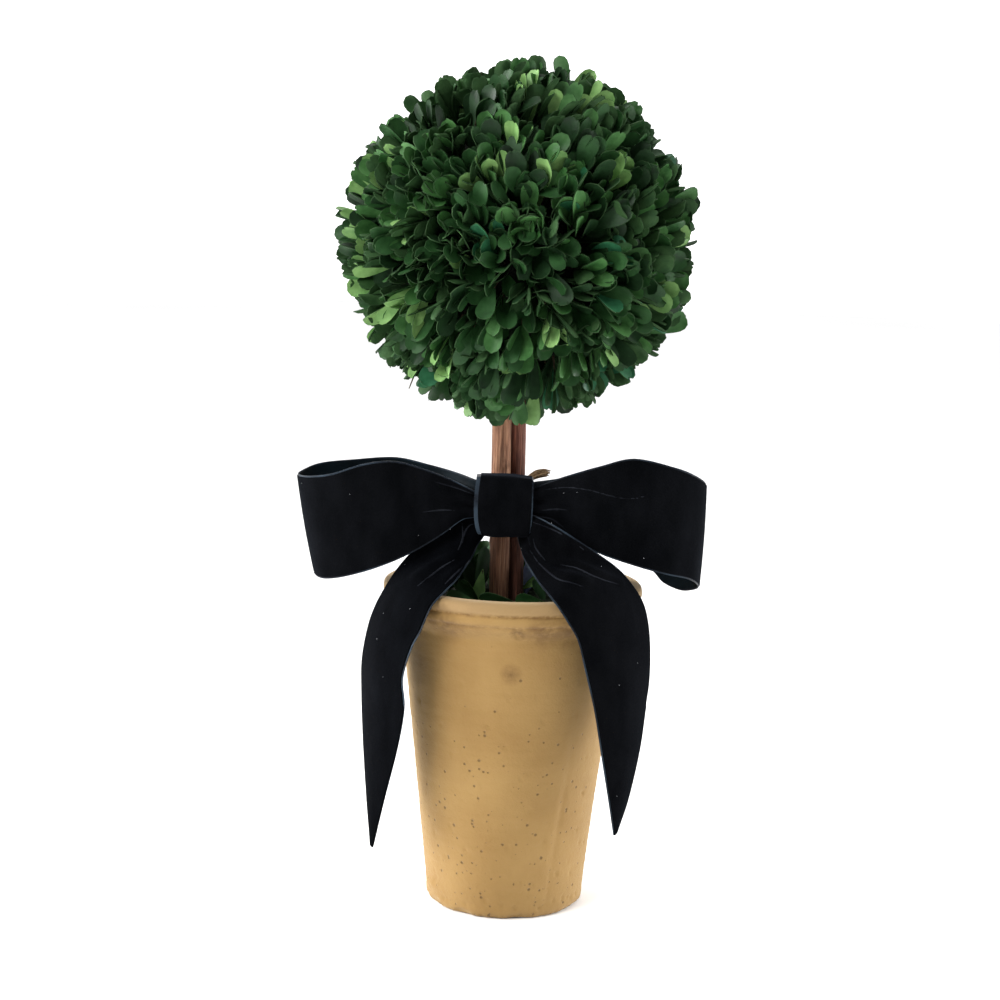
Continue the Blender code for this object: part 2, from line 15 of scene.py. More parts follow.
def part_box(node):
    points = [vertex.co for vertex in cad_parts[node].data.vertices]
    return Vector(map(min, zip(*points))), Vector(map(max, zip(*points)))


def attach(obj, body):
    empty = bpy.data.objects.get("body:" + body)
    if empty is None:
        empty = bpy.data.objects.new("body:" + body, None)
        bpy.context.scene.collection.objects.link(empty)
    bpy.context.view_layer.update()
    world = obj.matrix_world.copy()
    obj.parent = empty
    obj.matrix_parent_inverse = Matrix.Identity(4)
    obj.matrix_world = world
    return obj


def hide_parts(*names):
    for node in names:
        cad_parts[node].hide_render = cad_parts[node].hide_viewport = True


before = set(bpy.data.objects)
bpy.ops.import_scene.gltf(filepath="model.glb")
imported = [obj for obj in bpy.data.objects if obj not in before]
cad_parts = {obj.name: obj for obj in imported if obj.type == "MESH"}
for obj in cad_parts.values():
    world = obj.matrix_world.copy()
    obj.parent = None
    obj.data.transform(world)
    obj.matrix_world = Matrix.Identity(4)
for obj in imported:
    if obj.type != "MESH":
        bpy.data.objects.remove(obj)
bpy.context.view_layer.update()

MM = 0.001

# The camera: a lens of 73 mm at 0.79 m, a little above the bow, rolled so that the top leans right

CAMERA_PLACE = (-0.006, -0.794, 0.276)
CAMERA_DOWN = 8.23  # degrees
CAMERA_ROLL = 1.65
CAMERA_LENS = 73.15

# What the source states, repeated where the looks are worked out from it

pot_low, pot_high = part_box("pot")
POT_HEIGHT = pot_high.z
RIM_RADIUS = pot_high.x
POT_WALL = 0.0052
POT_FLOOR = 0.009
LIP_DEPTH = 0.0051
BAND_DEPTH = 0.0096
NECK_DEPTH = 0.0159
NECK_RADIUS = 0.0436
FOOT_RADIUS = 0.0307
RIM_ROUND = 0.0012
FILLER_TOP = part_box("pot_filler")[1].z

STICK_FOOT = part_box("trunk_left")[0].z
STICK_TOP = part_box("trunk_left")[1].z
STICK_TAPER = 0.04
LEFT_STICK = {"radius": 0.00385, "foot": (-0.0054, -0.0025), "head": (-0.0065, -0.0025)}
RIGHT_STICK = {"radius": 0.00330, "foot": (0.0009, 0.0021), "head": (-0.0003, 0.0019)}

CROWN_CENTRE = Vector((-0.0022, 0.0, 0.2622))
CROWN_REACH = 0.0710


# Meshes


def grid_faces(rows, columns, start=0, close_rows=False, close_columns=False):
    """Four-cornered faces of a grid of points, row after row."""
    down = np.arange(rows if close_rows else rows - 1)
    across = np.arange(columns if close_columns else columns - 1)
    r, c = np.meshgrid(down, across, indexing="ij")
    r2, c2 = (r + 1) % rows, (c + 1) % columns
    corners = [r * columns + c, r * columns + c2, r2 * columns + c2, r2 * columns + c]
    return np.stack(corners, -1).reshape(-1, 4) + start


def make_piece(name, points, faces, looks, slots=None, sharp=50):
    """A mesh object from arrays, shaded smooth between edges sharper than an angle in degrees."""
    mesh = bpy.data.meshes.new(name)
    mesh.from_pydata(np.asarray(points).reshape(-1, 3).tolist(), [], [list(f) for f in faces])
    for look in looks:
        mesh.materials.append(look)
    if slots is not None:
        mesh.polygons.foreach_set("material_index", np.asarray(slots, np.int32))
    mesh.shade_smooth()
    mesh.set_sharp_from_angle(angle=math.radians(sharp))
    piece = bpy.data.objects.new(name, mesh)
    bpy.context.scene.collection.objects.link(piece)
    return piece


def place(piece, slot, *nodes):
    """Rides a piece on the part's one body, in place of the nodes that it stands for."""
    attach(piece, "root")
    if nodes:
        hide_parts(*nodes)
    return piece


def smooth_through(points, steps):
    """A smooth curve through every point, with a number of steps to each span."""
    points = np.asarray(points, float)
    ends = np.vstack([2 * points[0] - points[1], points, 2 * points[-1] - points[-2]])
    rows = []
    for before, start, end, after in zip(ends, ends[1:], ends[2:], ends[3:]):
        for t in np.arange(steps) / steps:
            rows.append((
                2 * start
                + (end - before) * t
                + (2 * before - 5 * start + 4 * end - after) * t**2
                + (3 * start - before - 3 * end + after) * t**3
            ) / 2)
    return np.array(rows + [points[-1]])


def unit(vectors):
    return vectors / np.maximum(np.linalg.norm(vectors, axis=-1, keepdims=True), 1e-12)


def even_directions(count):
    """Directions spread evenly over a sphere."""
    golden = math.pi * (3 - math.sqrt(5))
    for i in range(count):
        level = 1 - 2 * (i + 0.5) / count
        flat = math.sqrt(1 - level * level)
        yield Vector((flat * math.cos(golden * i), flat * math.sin(golden * i), level))


def any_normal(direction):
    helper = Vector((0, 0, 1)) if abs(direction.z) < 0.9 else Vector((1, 0, 0))
    return direction.cross(helper).normalized()


def tube(path, radii, sides, start=0):
    """Points and faces of a round tube along a path, closed at both ends."""
    path = np.asarray(path, float)
    along = unit(np.gradient(path, axis=0))
    helper = np.array([0, 0, 1.0]) if abs(along[:, 2]).mean() < 0.8 else np.array([1.0, 0, 0])
    across = unit(np.cross(along, helper))
    beside = np.cross(along, across)
    turns = np.linspace(0, math.tau, sides, endpoint=False)[None, :, None]
    radii = np.broadcast_to(np.asarray(radii, float), (len(path),))[:, None, None]
    round_it = np.cos(turns) * across[:, None] + np.sin(turns) * beside[:, None]
    points = (path[:, None] + round_it * radii).reshape(-1, 3)
    faces = [list(f[::-1]) for f in grid_faces(len(path), sides, start, close_columns=True)]
    last = start + (len(path) - 1) * sides
    faces.append([start + i for i in range(sides)])
    faces.append([last + i for i in range(sides)][::-1])
    return points, faces


def joined_tubes(name, tubes, look, sharp=50):
    """One piece from many (path, radii, sides)."""
    points, faces, count = [], [], 0
    for path, radii, sides in tubes:
        made, made_faces = tube(path, radii, sides, count)
        points.append(made)
        faces += made_faces
        count += len(made)
    return make_piece(name, np.concatenate(points), faces, [look], sharp=sharp)


# Materials


class Look:
    """A material under construction, with short calls for its nodes. Lengths are in metres."""

    def __init__(self, name, roughness, **sockets):
        self.material = bpy.data.materials.new(name)
        self.material.use_nodes = True
        self.tree = self.material.node_tree
        self.shader = self.tree.nodes["Principled BSDF"]
        self.shader.inputs["Roughness"].default_value = roughness
        for socket, value in sockets.items():
            self.shader.inputs[socket.replace("_", " ")].default_value = value
        self.place = self.add("TexCoord").outputs["Object"]

    def add(self, kind, inputs=None, **settings):
        node = self.tree.nodes.new("ShaderNode" + kind)
        for setting, value in settings.items():
            setattr(node, setting, value)
        for socket, value in (inputs or {}).items():
            if isinstance(value, bpy.types.NodeSocket):
                self.tree.links.new(value, node.inputs[socket])
            else:
                node.inputs[socket].default_value = value
        return node

    def stretched(self, stretch):
        return self.add("Mapping", {"Vector": self.place, "Scale": stretch}).outputs["Vector"]

    def noise(self, size, detail=4.0, roughness=0.55, stretch=None, distortion=0.0):
        place = self.stretched(stretch) if stretch else self.place
        return self.add("TexNoise", {
            "Vector": place,
            "Scale": 1 / size,
            "Detail": detail,
            "Roughness": roughness,
            "Distortion": distortion,
        }).outputs["Fac"]

    def height(self):
        return self.add("SeparateXYZ", {"Vector": self.place}).outputs["Z"]

    def nearness(self, point, size):
        """1 at a point, falling to 0 at a distance."""
        away = self.add("VectorMath", {0: self.place, 1: point}, operation="DISTANCE")
        return self.span(away.outputs["Value"], size, 0)

    def span(self, value, low, high, to_low=0.0, to_high=1.0):
        """A value carried from one range to another, and held inside it."""
        inputs = {"From Min": low, "From Max": high, "To Min": to_low, "To Max": to_high}
        return self.add("MapRange", {"Value": value, **inputs}).outputs["Result"]

    def math(self, operation, first, second=0.0):
        return self.add("Math", {0: first, 1: second}, operation=operation).outputs[0]

    def ramp(self, factor, *stops):
        node = self.add("ValToRGB", {"Fac": factor})
        elements = node.color_ramp.elements
        while len(elements) < len(stops):
            elements.new(0.5)
        for element, (position, colour) in zip(elements, stops):
            element.position = position
            element.color = (*colour, 1)
        return node.outputs["Color"]

    def mix(self, factor, first, second):
        node = self.add("Mix", {"Factor": factor}, data_type="RGBA")
        for socket, value in ((node.inputs[6], first), (node.inputs[7], second)):
            if isinstance(value, bpy.types.NodeSocket):
                self.tree.links.new(value, socket)
            else:
                socket.default_value = (*value, 1)
        return node.outputs[2]

    def finish(self, colour, roughness=None, relief=None, depth=0.0005, strength=1.0):
        self.tree.links.new(colour, self.shader.inputs["Base Color"])
        if roughness is not None:
            self.tree.links.new(roughness, self.shader.inputs["Roughness"])
        if relief is not None:
            inputs = {"Height": relief, "Distance": depth, "Strength": strength}
            bump = self.add("Bump", inputs)
            self.tree.links.new(bump.outputs["Normal"], self.shader.inputs["Normal"])
        return self.material


def leaf_look(name, dark, light, roughness, shine=0.23):
    """Preserved leaf: a little darker and lighter in soft patches, with a fine grain."""
    look = Look(name, roughness, Specular_IOR_Level=shine)
    patches = look.noise(0.006, detail=3)
    grain = look.noise(0.0009, detail=3)
    colour = look.ramp(patches, (0.32, dark), (0.68, light))
    dull = look.span(patches, 0.3, 0.7, roughness - 0.06, roughness + 0.08)
    return look.finish(colour, dull, grain, 0.00015, 0.5)


def clay_look():
    """Unglazed buff clay: mottled, with throwing lines, pits, grime in the rim's grooves, stain marks, and
    painted shade under the collar and on the upper left.
    """
    look = Look(
        "clay", 0.85, Specular_IOR_Level=0.20, Sheen_Weight=0.26, Sheen_Roughness=0.5,
        Sheen_Tint=(1.0, 0.84, 0.60, 1),
    )
    broad = look.noise(0.028, detail=4)
    streaks = look.noise(0.012, detail=5, stretch=(0.35, 0.35, 3.0))
    grain = look.noise(0.0011, detail=4, roughness=0.65)
    colour = look.ramp(broad, (0.30, (0.250, 0.146, 0.047)), (0.70, (0.312, 0.193, 0.068)))
    colour = look.mix(look.span(streaks, 0.48, 0.75, 0, 0.16), colour, (0.30, 0.17, 0.065))
    height = look.height()
    dusty = look.span(height, POT_HEIGHT - 0.0052, POT_HEIGHT - 0.0040, 0, 0.45)
    colour = look.mix(dusty, colour, (0.270, 0.188, 0.104))
    dirt_and_shade_noise = look.noise(0.005, detail=6, roughness=0.75)
    stain_and_shade_noise = look.noise(0.022, detail=3, stretch=(1, 1, 2.0))
    for line, width, amount in (
        (POT_HEIGHT - LIP_DEPTH, 0.0011, 0.95),
        (POT_HEIGHT - BAND_DEPTH, 0.0014, 0.95),
        # painted shade: a soft dark band under the collar's ledge, where the collar shades the neck; the two
        # lines above are grime in the grooves
        (POT_HEIGHT - BAND_DEPTH - 0.0028, 0.0030, 0.50),
    ):
        away = look.math("ABSOLUTE", look.math("SUBTRACT", height, line))
        near = look.span(away, width, 0, 0, amount)
        mask = look.math("MULTIPLY", near, look.span(dirt_and_shade_noise, 0.42, 0.58))
        mask = look.math("MULTIPLY", mask, look.span(stain_and_shade_noise, 0.36, 0.54, 0.25, 1.0))
        colour = look.mix(mask, colour, (0.140, 0.070, 0.022))
    # stain marks, and painted shade at the last point
    for point, size, amount in CLAY_STAINS_AND_SHADE:
        mask = look.math("MULTIPLY", look.nearness(point, size), look.span(dirt_and_shade_noise, 0.36, 0.56, 0.30, amount))
        colour = look.mix(mask, colour, (0.105, 0.052, 0.016))
    pits, depth = clay_pits(look)
    colour = look.mix(pits, colour, (0.10, 0.055, 0.022))
    rough_skin = look.math("MULTIPLY_ADD", streaks, 0.5)
    relief = look.math("SUBTRACT", look.math("ADD", grain, rough_skin), depth)
    return look.finish(colour, look.span(grain, 0.3, 0.7, 0.78, 0.93), relief, 0.0004, 0.55)


def clay_pits(look):
    """Small dark pits, one in some cells of a cell pattern, and more of them low on the pot."""
    cells = look.add("TexVoronoi", {"Vector": look.place, "Scale": 1 / 0.0019, "Randomness": 1.0})
    random_of_cell = look.add("SeparateColor", {"Color": cells.outputs["Color"]})
    chance = look.span(look.height(), 0.095, 0.050, 0.05, 0.42)
    chosen = look.math("LESS_THAN", random_of_cell.outputs["Red"], chance)
    skewed = look.math("POWER", random_of_cell.outputs["Green"], 2.2)
    size = look.span(skewed, 0, 1, 0.10, 0.40)
    within = look.math("SUBTRACT", size, cells.outputs["Distance"])
    hole = look.span(within, 0.0, 0.14)
    mask = look.math("MULTIPLY", hole, chosen)
    return look.math("MULTIPLY", mask, 0.75), look.math("MULTIPLY", mask, 2.0)


def bark_look(name, light, middle, dark):
    """Bare twig wood: long fibres up the stick, with darker cracks, and painted shade low down near the pot's
    mouth.
    """
    look = Look(name, 0.78, Specular_IOR_Level=0.25)
    fibres = look.noise(0.0008, detail=6, roughness=0.7, stretch=(1, 1, 0.040))
    bands = look.noise(0.0035, detail=3, stretch=(1, 1, 0.12))
    colour = look.ramp(fibres, (0.34, dark), (0.5, middle), (0.66, light))
    colour = look.mix(look.span(bands, 0.5, 0.72, 0, 0.6), colour, dark)
    # painted shade: the bark darkens below 0.172 m, most by 0.150 m, for the shade of the bow and tails near the
    # pot's mouth
    colour = look.mix(look.span(look.height(), 0.172, 0.150, 0, 0.40), colour, dark)
    return look.finish(colour, None, fibres, 0.0008, 1.0)


def velvet_look(name, low, high, sheen=0.05):
    """The ribbon's pile: near-black navy, brushed lighter and darker in soft patches."""
    look = Look(
        name, 0.95, Specular_IOR_Level=0.012,
        Sheen_Weight=sheen, Sheen_Roughness=0.45, Sheen_Tint=(0.30, 0.36, 0.50, 1),
    )
    nap = look.noise(0.010, detail=4, stretch=(1, 1, 0.5))
    pile = look.noise(0.0005, detail=2, roughness=0.7)
    colour = look.ramp(nap, (0.35, low), (0.70, high))
    return look.finish(colour, None, pile, 0.0003, 0.6)


def satin_look():
    """The ribbon's back: a woven sheen, darker teal than the pile is navy."""
    look = Look("ribbon_back", 0.60, Specular_IOR_Level=0.04, Sheen_Weight=0.02)
    threads = look.noise(0.0004, detail=2, stretch=(0.2, 0.2, 1.0))
    cloud = look.noise(0.009, detail=3)
    colour = look.ramp(cloud, (0.35, (0.0020, 0.0042, 0.0060)), (0.70, (0.0050, 0.0100, 0.0140)))
    return look.finish(colour, look.span(threads, 0.3, 0.7, 0.52, 0.68), threads, 0.0002, 0.5)


def selvedge_look():
    """The woven band along each edge of the ribbon, slate blue in soft patches."""
    look = Look("selvedge", 0.5, Specular_IOR_Level=0.10, Sheen_Weight=0.05)
    ribs = look.noise(0.0006, detail=2)
    pale_patches = look.noise(0.016, detail=3)
    colour = look.ramp(ribs, (0.35, (0.0035, 0.0055, 0.0090)), (0.70, (0.0090, 0.0140, 0.0220)))
    colour = look.mix(look.span(pale_patches, 0.46, 0.66, 0, 0.8), colour, (0.030, 0.047, 0.066))
    return look.finish(colour, None, ribs, 0.0002, 0.6)


def jute_look(name, dark, light):
    """Plant fibre: darker and lighter hairs."""
    look = Look(name, 0.85, Specular_IOR_Level=0.2)
    hairs = look.noise(0.0007, detail=5, roughness=0.7)
    colour = look.ramp(hairs, (0.30, dark), (0.70, light))
    return look.finish(colour, None, hairs, 0.0004, 0.8)


def foam_look(name, dark, light):
    """Dry foam or moss: a coarse matte crumb."""
    look = Look(name, 0.95, Specular_IOR_Level=0.15)
    crumb = look.noise(0.0016, detail=5, roughness=0.75)
    colour = look.ramp(crumb, (0.32, dark), (0.70, light))
    return look.finish(colour, None, crumb, 0.0010, 0.9)


# real stain marks, save the last point, which is painted shade
CLAY_STAINS_AND_SHADE = (  # a point, how far the stain runs, how strong it is
    ((0.0020, -0.0472, POT_HEIGHT - 0.0118), 0.0034, 1.5),
    ((0.0028, -0.0464, POT_HEIGHT - 0.0142), 0.0026, 1.3),
    ((0.0120, -0.0460, POT_HEIGHT - 0.0120), 0.0100, 0.9),
    ((0.0220, -0.0420, POT_HEIGHT - 0.0115), 0.0100, 0.9),
    ((-0.0260, -0.0400, POT_HEIGHT - 0.0105), 0.0100, 0.9),
    ((0.0000, -0.0424, 0.1005), 0.0050, 0.8),
    # painted shade: the pot's upper left below the collar, where the collar and the bow shade it
    ((-0.0350, -0.0240, 0.1000), 0.0100, 0.5),
)
CLAY = clay_look()
BARK_LEFT = bark_look("bark_tan", (0.47, 0.265, 0.155), (0.250, 0.118, 0.066), (0.060, 0.026, 0.016))
BARK_RIGHT = bark_look("bark_red", (0.28, 0.105, 0.064), (0.130, 0.050, 0.034), (0.036, 0.018, 0.013))
TWIG = bark_look("twig", (0.10, 0.075, 0.035), (0.050, 0.038, 0.020), (0.018, 0.013, 0.008))
VELVET = velvet_look("velvet", (0.0015, 0.0017, 0.0021), (0.0034, 0.0037, 0.0046), 0.042)
# painted shade: the tails have their own darker copies of the one velvet, the left tail's darkest and with the
# least sheen, for the shade on them
TAIL_VELVETS_PAINTED_SHADE = {
    "tail_left": velvet_look("velvet_tail_left_painted_shade", (0.0006, 0.0007, 0.0010), (0.0017, 0.0020, 0.0027), 0.02),
    "tail_right": velvet_look("velvet_tail_right_painted_shade", (0.0010, 0.0011, 0.0014), (0.0026, 0.0028, 0.0034), 0.045),
}
# painted highlight: lighter pile on the thin crease lines, where the velvet catches the light
CREASE = velvet_look("velvet_crease_painted_highlight", (0.004, 0.0045, 0.006), (0.019, 0.021, 0.026))
LINT = jute_look("lint", (0.25, 0.26, 0.28), (0.60, 0.62, 0.64))
SATIN = satin_look()
SELVEDGE = selvedge_look()
JUTE = jute_look("jute", (0.17, 0.100, 0.050), (0.50, 0.35, 0.20))
FOAM = foam_look("foam", (0.028, 0.034, 0.018), (0.085, 0.090, 0.050))
MOSS = foam_look("moss", (0.004, 0.007, 0.003), (0.014, 0.022, 0.009))
# painted shade: the core is near-black to stand for the shade deep between the crown's sprays
CORE = foam_look("core", (0.0015, 0.0022, 0.0012), (0.005, 0.007, 0.004))
LEAF_UNDER = leaf_look("leaf_under", (0.015, 0.043, 0.014), (0.038, 0.086, 0.030), 0.62, 0.10)
LEAF_RIM = leaf_look("leaf_rim", (0.010, 0.028, 0.009), (0.034, 0.064, 0.028), 0.70, 0.02)
LEAF_LOOKS = {
    "dark": leaf_look("leaf_dark", (0.0042, 0.0165, 0.0045), (0.0100, 0.036, 0.0100), 0.50),
    "deep": leaf_look("leaf_deep", (0.0090, 0.036, 0.0090), (0.0220, 0.076, 0.0200), 0.50),
    "mid": leaf_look("leaf_mid", (0.022, 0.080, 0.019), (0.058, 0.160, 0.044), 0.50),
    "blue": leaf_look("leaf_blue", (0.010, 0.062, 0.026), (0.028, 0.138, 0.060), 0.46),
    "bright": leaf_look("leaf_bright", (0.088, 0.200, 0.055), (0.200, 0.360, 0.115), 0.52),
}
# painted light: the faded leaf is set far paler than its own slate blue, so it reads lit in the shade of the
# mouth
FADED_LEAF_PAINTED_LIGHT = leaf_look("leaf_faded", (0.240, 0.310, 0.600), (0.440, 0.520, 0.840), 0.60)


# The pot


def rounded(outline, times=2):
    """An outline with its corners cut round, its ends kept."""
    points = np.asarray(outline, float)
    for _ in range(times):
        early = points[:-1] * 0.75 + points[1:] * 0.25
        late = points[:-1] * 0.25 + points[1:] * 0.75
        cut = np.stack([early, late], 1).reshape(-1, 2)
        points = np.vstack([points[0], cut, points[-1]])
    return points


def evenly(points, spacing):
    """The same outline with its points a given distance apart."""
    steps = np.linalg.norm(np.diff(points, axis=0), axis=1)
    reached = np.concatenate([[0], np.cumsum(steps)])
    wanted = np.linspace(0, reached[-1], max(2, round(reached[-1] / spacing)))
    return np.stack([np.interp(wanted, reached, points[:, k]) for k in range(points.shape[1])], 1)


def wall_radius(height):
    neck_height = POT_HEIGHT - NECK_DEPTH
    return FOOT_RADIUS + (NECK_RADIUS - FOOT_RADIUS) * height / neck_height


def inner_radius(height):
    flare_start = POT_HEIGHT - NECK_DEPTH
    inner_rim = RIM_RADIUS - POT_WALL - RIM_ROUND
    inner_neck = wall_radius(flare_start) - POT_WALL
    share = np.clip((height - flare_start) / NECK_DEPTH, 0, 1)
    return np.where(
        height <= flare_start,
        wall_radius(height) - POT_WALL,
        inner_neck + (inner_rim - inner_neck) * share,
    )


POT_SIDES = 300
POT_SPACING = 0.0009
POT_PITS = 130
POT_SEED = 3


def pot_outlines():
    """The inside from the floor's middle to the rim, and the outside from there to the underside."""
    neck_height = POT_HEIGHT - NECK_DEPTH
    inner_rim = float(inner_radius(POT_HEIGHT))
    inside = [
        (0.0002, POT_FLOOR),
        (float(inner_radius(POT_FLOOR)), POT_FLOOR),
        (float(inner_radius(neck_height)), neck_height),
        (inner_rim, POT_HEIGHT - RIM_ROUND),
        (inner_rim + RIM_ROUND, POT_HEIGHT),
    ]
    outside = [
        (inner_rim + RIM_ROUND, POT_HEIGHT),
        (RIM_RADIUS - 0.0022, POT_HEIGHT),
        (RIM_RADIUS - 0.0003, POT_HEIGHT - 0.0008),
        (RIM_RADIUS, POT_HEIGHT - 0.0030),
        (RIM_RADIUS - 0.0002, POT_HEIGHT - LIP_DEPTH + 0.0006),
        (RIM_RADIUS - 0.0014, POT_HEIGHT - LIP_DEPTH),
        (RIM_RADIUS - 0.0005, POT_HEIGHT - LIP_DEPTH - 0.0008),
        (RIM_RADIUS - 0.0011, POT_HEIGHT - BAND_DEPTH + 0.0008),
        (RIM_RADIUS - 0.0026, POT_HEIGHT - BAND_DEPTH),
        (RIM_RADIUS - 0.0032, POT_HEIGHT - BAND_DEPTH - 0.0016),
        (NECK_RADIUS + 0.0018, neck_height + 0.0020),
        (NECK_RADIUS, neck_height - 0.0010),
        (wall_radius(0.0055), 0.0055),
        (FOOT_RADIUS + 0.0008, 0.0032),
        (FOOT_RADIUS + 0.0004, 0.0007),
        (FOOT_RADIUS - 0.0009, 0.0),
    ]
    return evenly(rounded(inside), 0.0040), evenly(rounded(outside), POT_SPACING)


def pot_relief(turn, height):
    """How far the outside stands proud of its turned shape."""
    relief = np.zeros(height.shape)
    for index in np.ndindex(height.shape):
        x, y = math.cos(turn[index]), math.sin(turn[index])
        z = height[index]
        out_of_round = noise.noise(Vector((x * 0.9, y * 0.9, z * 14)))
        lines = noise.noise(Vector((x * 0.6, y * 0.6, z * 620)))
        crumb = noise.noise(Vector((x * 16, y * 16, z * 420)))
        relief[index] = 0.00035 * out_of_round + 0.00013 * lines + 0.00008 * crumb
    return relief


def turned_dent(turn, height, radius, at, size, depth, lean=0.0):
    """A smooth dent, or a ridge where the depth is negative, at (turn, height), of a half size each way."""
    around = (turn - at[0] + math.pi) % math.tau - math.pi
    x = around * radius
    z = height - at[1]
    x = x - z * lean
    return -depth * np.exp(-((x / size[0]) ** 2) - (z / size[1]) ** 2)


def make_pot():
    """The clay pot, with throwing lines, pits, a gouge under the rim and a chipped foot."""
    rng = random.Random(POT_SEED)
    inside, outside = pot_outlines()
    turns = np.linspace(0, math.tau, POT_SIDES, endpoint=False)
    turn, _ = np.meshgrid(turns, outside[:, 0])
    radius = np.repeat(outside[:, :1], POT_SIDES, 1)
    height = np.repeat(outside[:, 1:], POT_SIDES, 1)
    relief = pot_relief(turn, height)
    front = -math.pi / 2
    for _ in range(POT_PITS):
        at = (rng.uniform(0, math.tau), 0.004 + 0.100 * rng.random() ** 2.2)
        half = rng.uniform(0.0006, 0.0010)
        relief += turned_dent(turn, height, radius, at, (half, half), rng.uniform(0.0003, 0.0007))
    gouge = (front + 0.045, POT_HEIGHT - 0.0128)
    relief += turned_dent(turn, height, radius, gouge, (0.0010, 0.0019), 0.0008)
    crease = (front + 0.62, 0.034)
    relief += turned_dent(turn, height, radius, crease, (0.0013, 0.0340), 0.00032, lean=0.08)
    beside = (front + 0.54, 0.034)
    relief += turned_dent(turn, height, radius, beside, (0.0020, 0.0340), -0.00012, lean=0.08)
    burr = (math.pi + 0.42, 0.0075)
    relief += turned_dent(turn, height, radius, burr, (0.0060, 0.0024), -0.0009)
    flat_top = np.clip((POT_HEIGHT - height) / 0.0015, 0, 1)
    radius = radius + relief * flat_top
    chips = np.array([
        max(0.0, noise.noise(Vector((math.cos(t) * 4, math.sin(t) * 4, 4.2))) + 0.10) * 0.0026
        + max(0.0, noise.noise(Vector((math.cos(t) * 15, math.sin(t) * 15, 1.7))) + 0.1) * 0.0008
        for t in turns
    ])
    low = np.clip(1 - height / 0.0045, 0, 1)
    edge = np.clip((radius - FOOT_RADIUS + 0.0014) / 0.0012, 0, 1)
    height = height + low * edge * chips
    radius = radius - low * edge * chips * 0.25

    outer = np.stack([radius * np.cos(turn), radius * np.sin(turn), height], -1)
    wall = np.stack([
        inside[:, :1] * np.cos(turns),
        inside[:, :1] * np.sin(turns),
        np.repeat(inside[:, 1:], POT_SIDES, 1),
    ], -1)
    rows = np.concatenate([wall, outer[1:]])
    faces = [list(f) for f in grid_faces(len(rows), POT_SIDES, close_columns=True)]
    last = (len(rows) - 1) * POT_SIDES
    faces.append([i for i in range(POT_SIDES)][::-1])
    faces.append([last + i for i in range(POT_SIDES)])
    pot = make_piece("pot_clay", rows.reshape(-1, 3), faces, [CLAY])
    place(pot, "clay", "pot")


# The stem's two sticks


def stick_share(height):
    return (height - STICK_FOOT) / (STICK_TOP - STICK_FOOT)


def stick_middle(stick, height):
    return Vector(stick["foot"]).lerp(Vector(stick["head"]), stick_share(height))


def stick_radius(stick, height):
    return stick["radius"] * (1 + STICK_TAPER * (0.5 - stick_share(height)))


def near_stick(point, clearance=0.0009):
    for stick in (LEFT_STICK, RIGHT_STICK):
        middle = stick_middle(stick, point.z)
        away = math.hypot(point.x - middle.x, point.y - middle.y)
        if point.z < STICK_TOP and away < stick_radius(stick, point.z) + clearance:
            return True
    return False


def make_stick(name, node, stick, look, seed):
    """A bare stick with fibrous bark: long shallow furrows, three leaf scars and a slight lean."""
    sides, rows = 56, 150
    heights = np.linspace(STICK_FOOT, STICK_TOP, rows)
    points = np.zeros((rows, sides, 3))
    scars = [(0.145, 1.9 + seed), (0.176, 4.4 + seed), (0.199, 3.1 + seed)]
    for i, height in enumerate(heights):
        middle = stick_middle(stick, height)
        for j in range(sides):
            turn = math.tau * j / sides
            x, y = math.cos(turn), math.sin(turn)
            furrows = noise.noise(Vector((x * 4.5 + seed, y * 4.5, height * 22)))
            fibres = noise.noise(Vector((x * 13 + seed, y * 13, height * 60)))
            radius = stick_radius(stick, height) * (0.985 + 0.045 * furrows + 0.030 * fibres)
            for scar_height, scar_turn in scars:
                around = (turn - scar_turn + math.pi) % math.tau - math.pi
                near = (around / 0.5) ** 2 + ((height - scar_height) / 0.0016) ** 2
                radius += 0.00035 * math.exp(-near)
            points[i, j] = (middle.x + radius * x, middle.y + radius * y, height)
    faces = [list(f) for f in grid_faces(rows, sides, close_columns=True)]
    faces.append(list(range(sides))[::-1])
    faces.append([(rows - 1) * sides + j for j in range(sides)])
    place(make_piece(name, points, faces, [look], sharp=70), "bark", node)


# Leaves

LEAF_STATIONS = np.array([0.0, 0.14, 0.30, 0.46, 0.61, 0.75, 0.87, 0.955, 1.0])
LEAF_COLUMNS = np.array([-1.0, -0.55, 0.0, 0.55, 1.0])
LEAF_THICKNESS = 0.00034


def leaf_template():
    """The faces of one leaf and what each is made of: 0 upper side, 1 underside, 2 rim."""
    rows, columns = len(LEAF_STATIONS), len(LEAF_COLUMNS)
    top = grid_faces(rows, columns)
    under = top[:, ::-1] + rows * columns
    border = (
        [(0, c) for c in range(columns - 1)]
        + [(r, columns - 1) for r in range(rows - 1)]
        + [(rows - 1, c) for c in range(columns - 1, 0, -1)]
        + [(r, 0) for r in range(rows - 1, 0, -1)]
    )
    ring = [r * columns + c for r, c in border]
    side = [
        (a + rows * columns, b + rows * columns, b, a)
        for a, b in zip(ring, ring[1:] + ring[:1])
    ]
    faces = np.concatenate([top, under, np.array(side)])
    return faces, np.repeat([0, 1, 2], [len(top), len(under), len(side)])


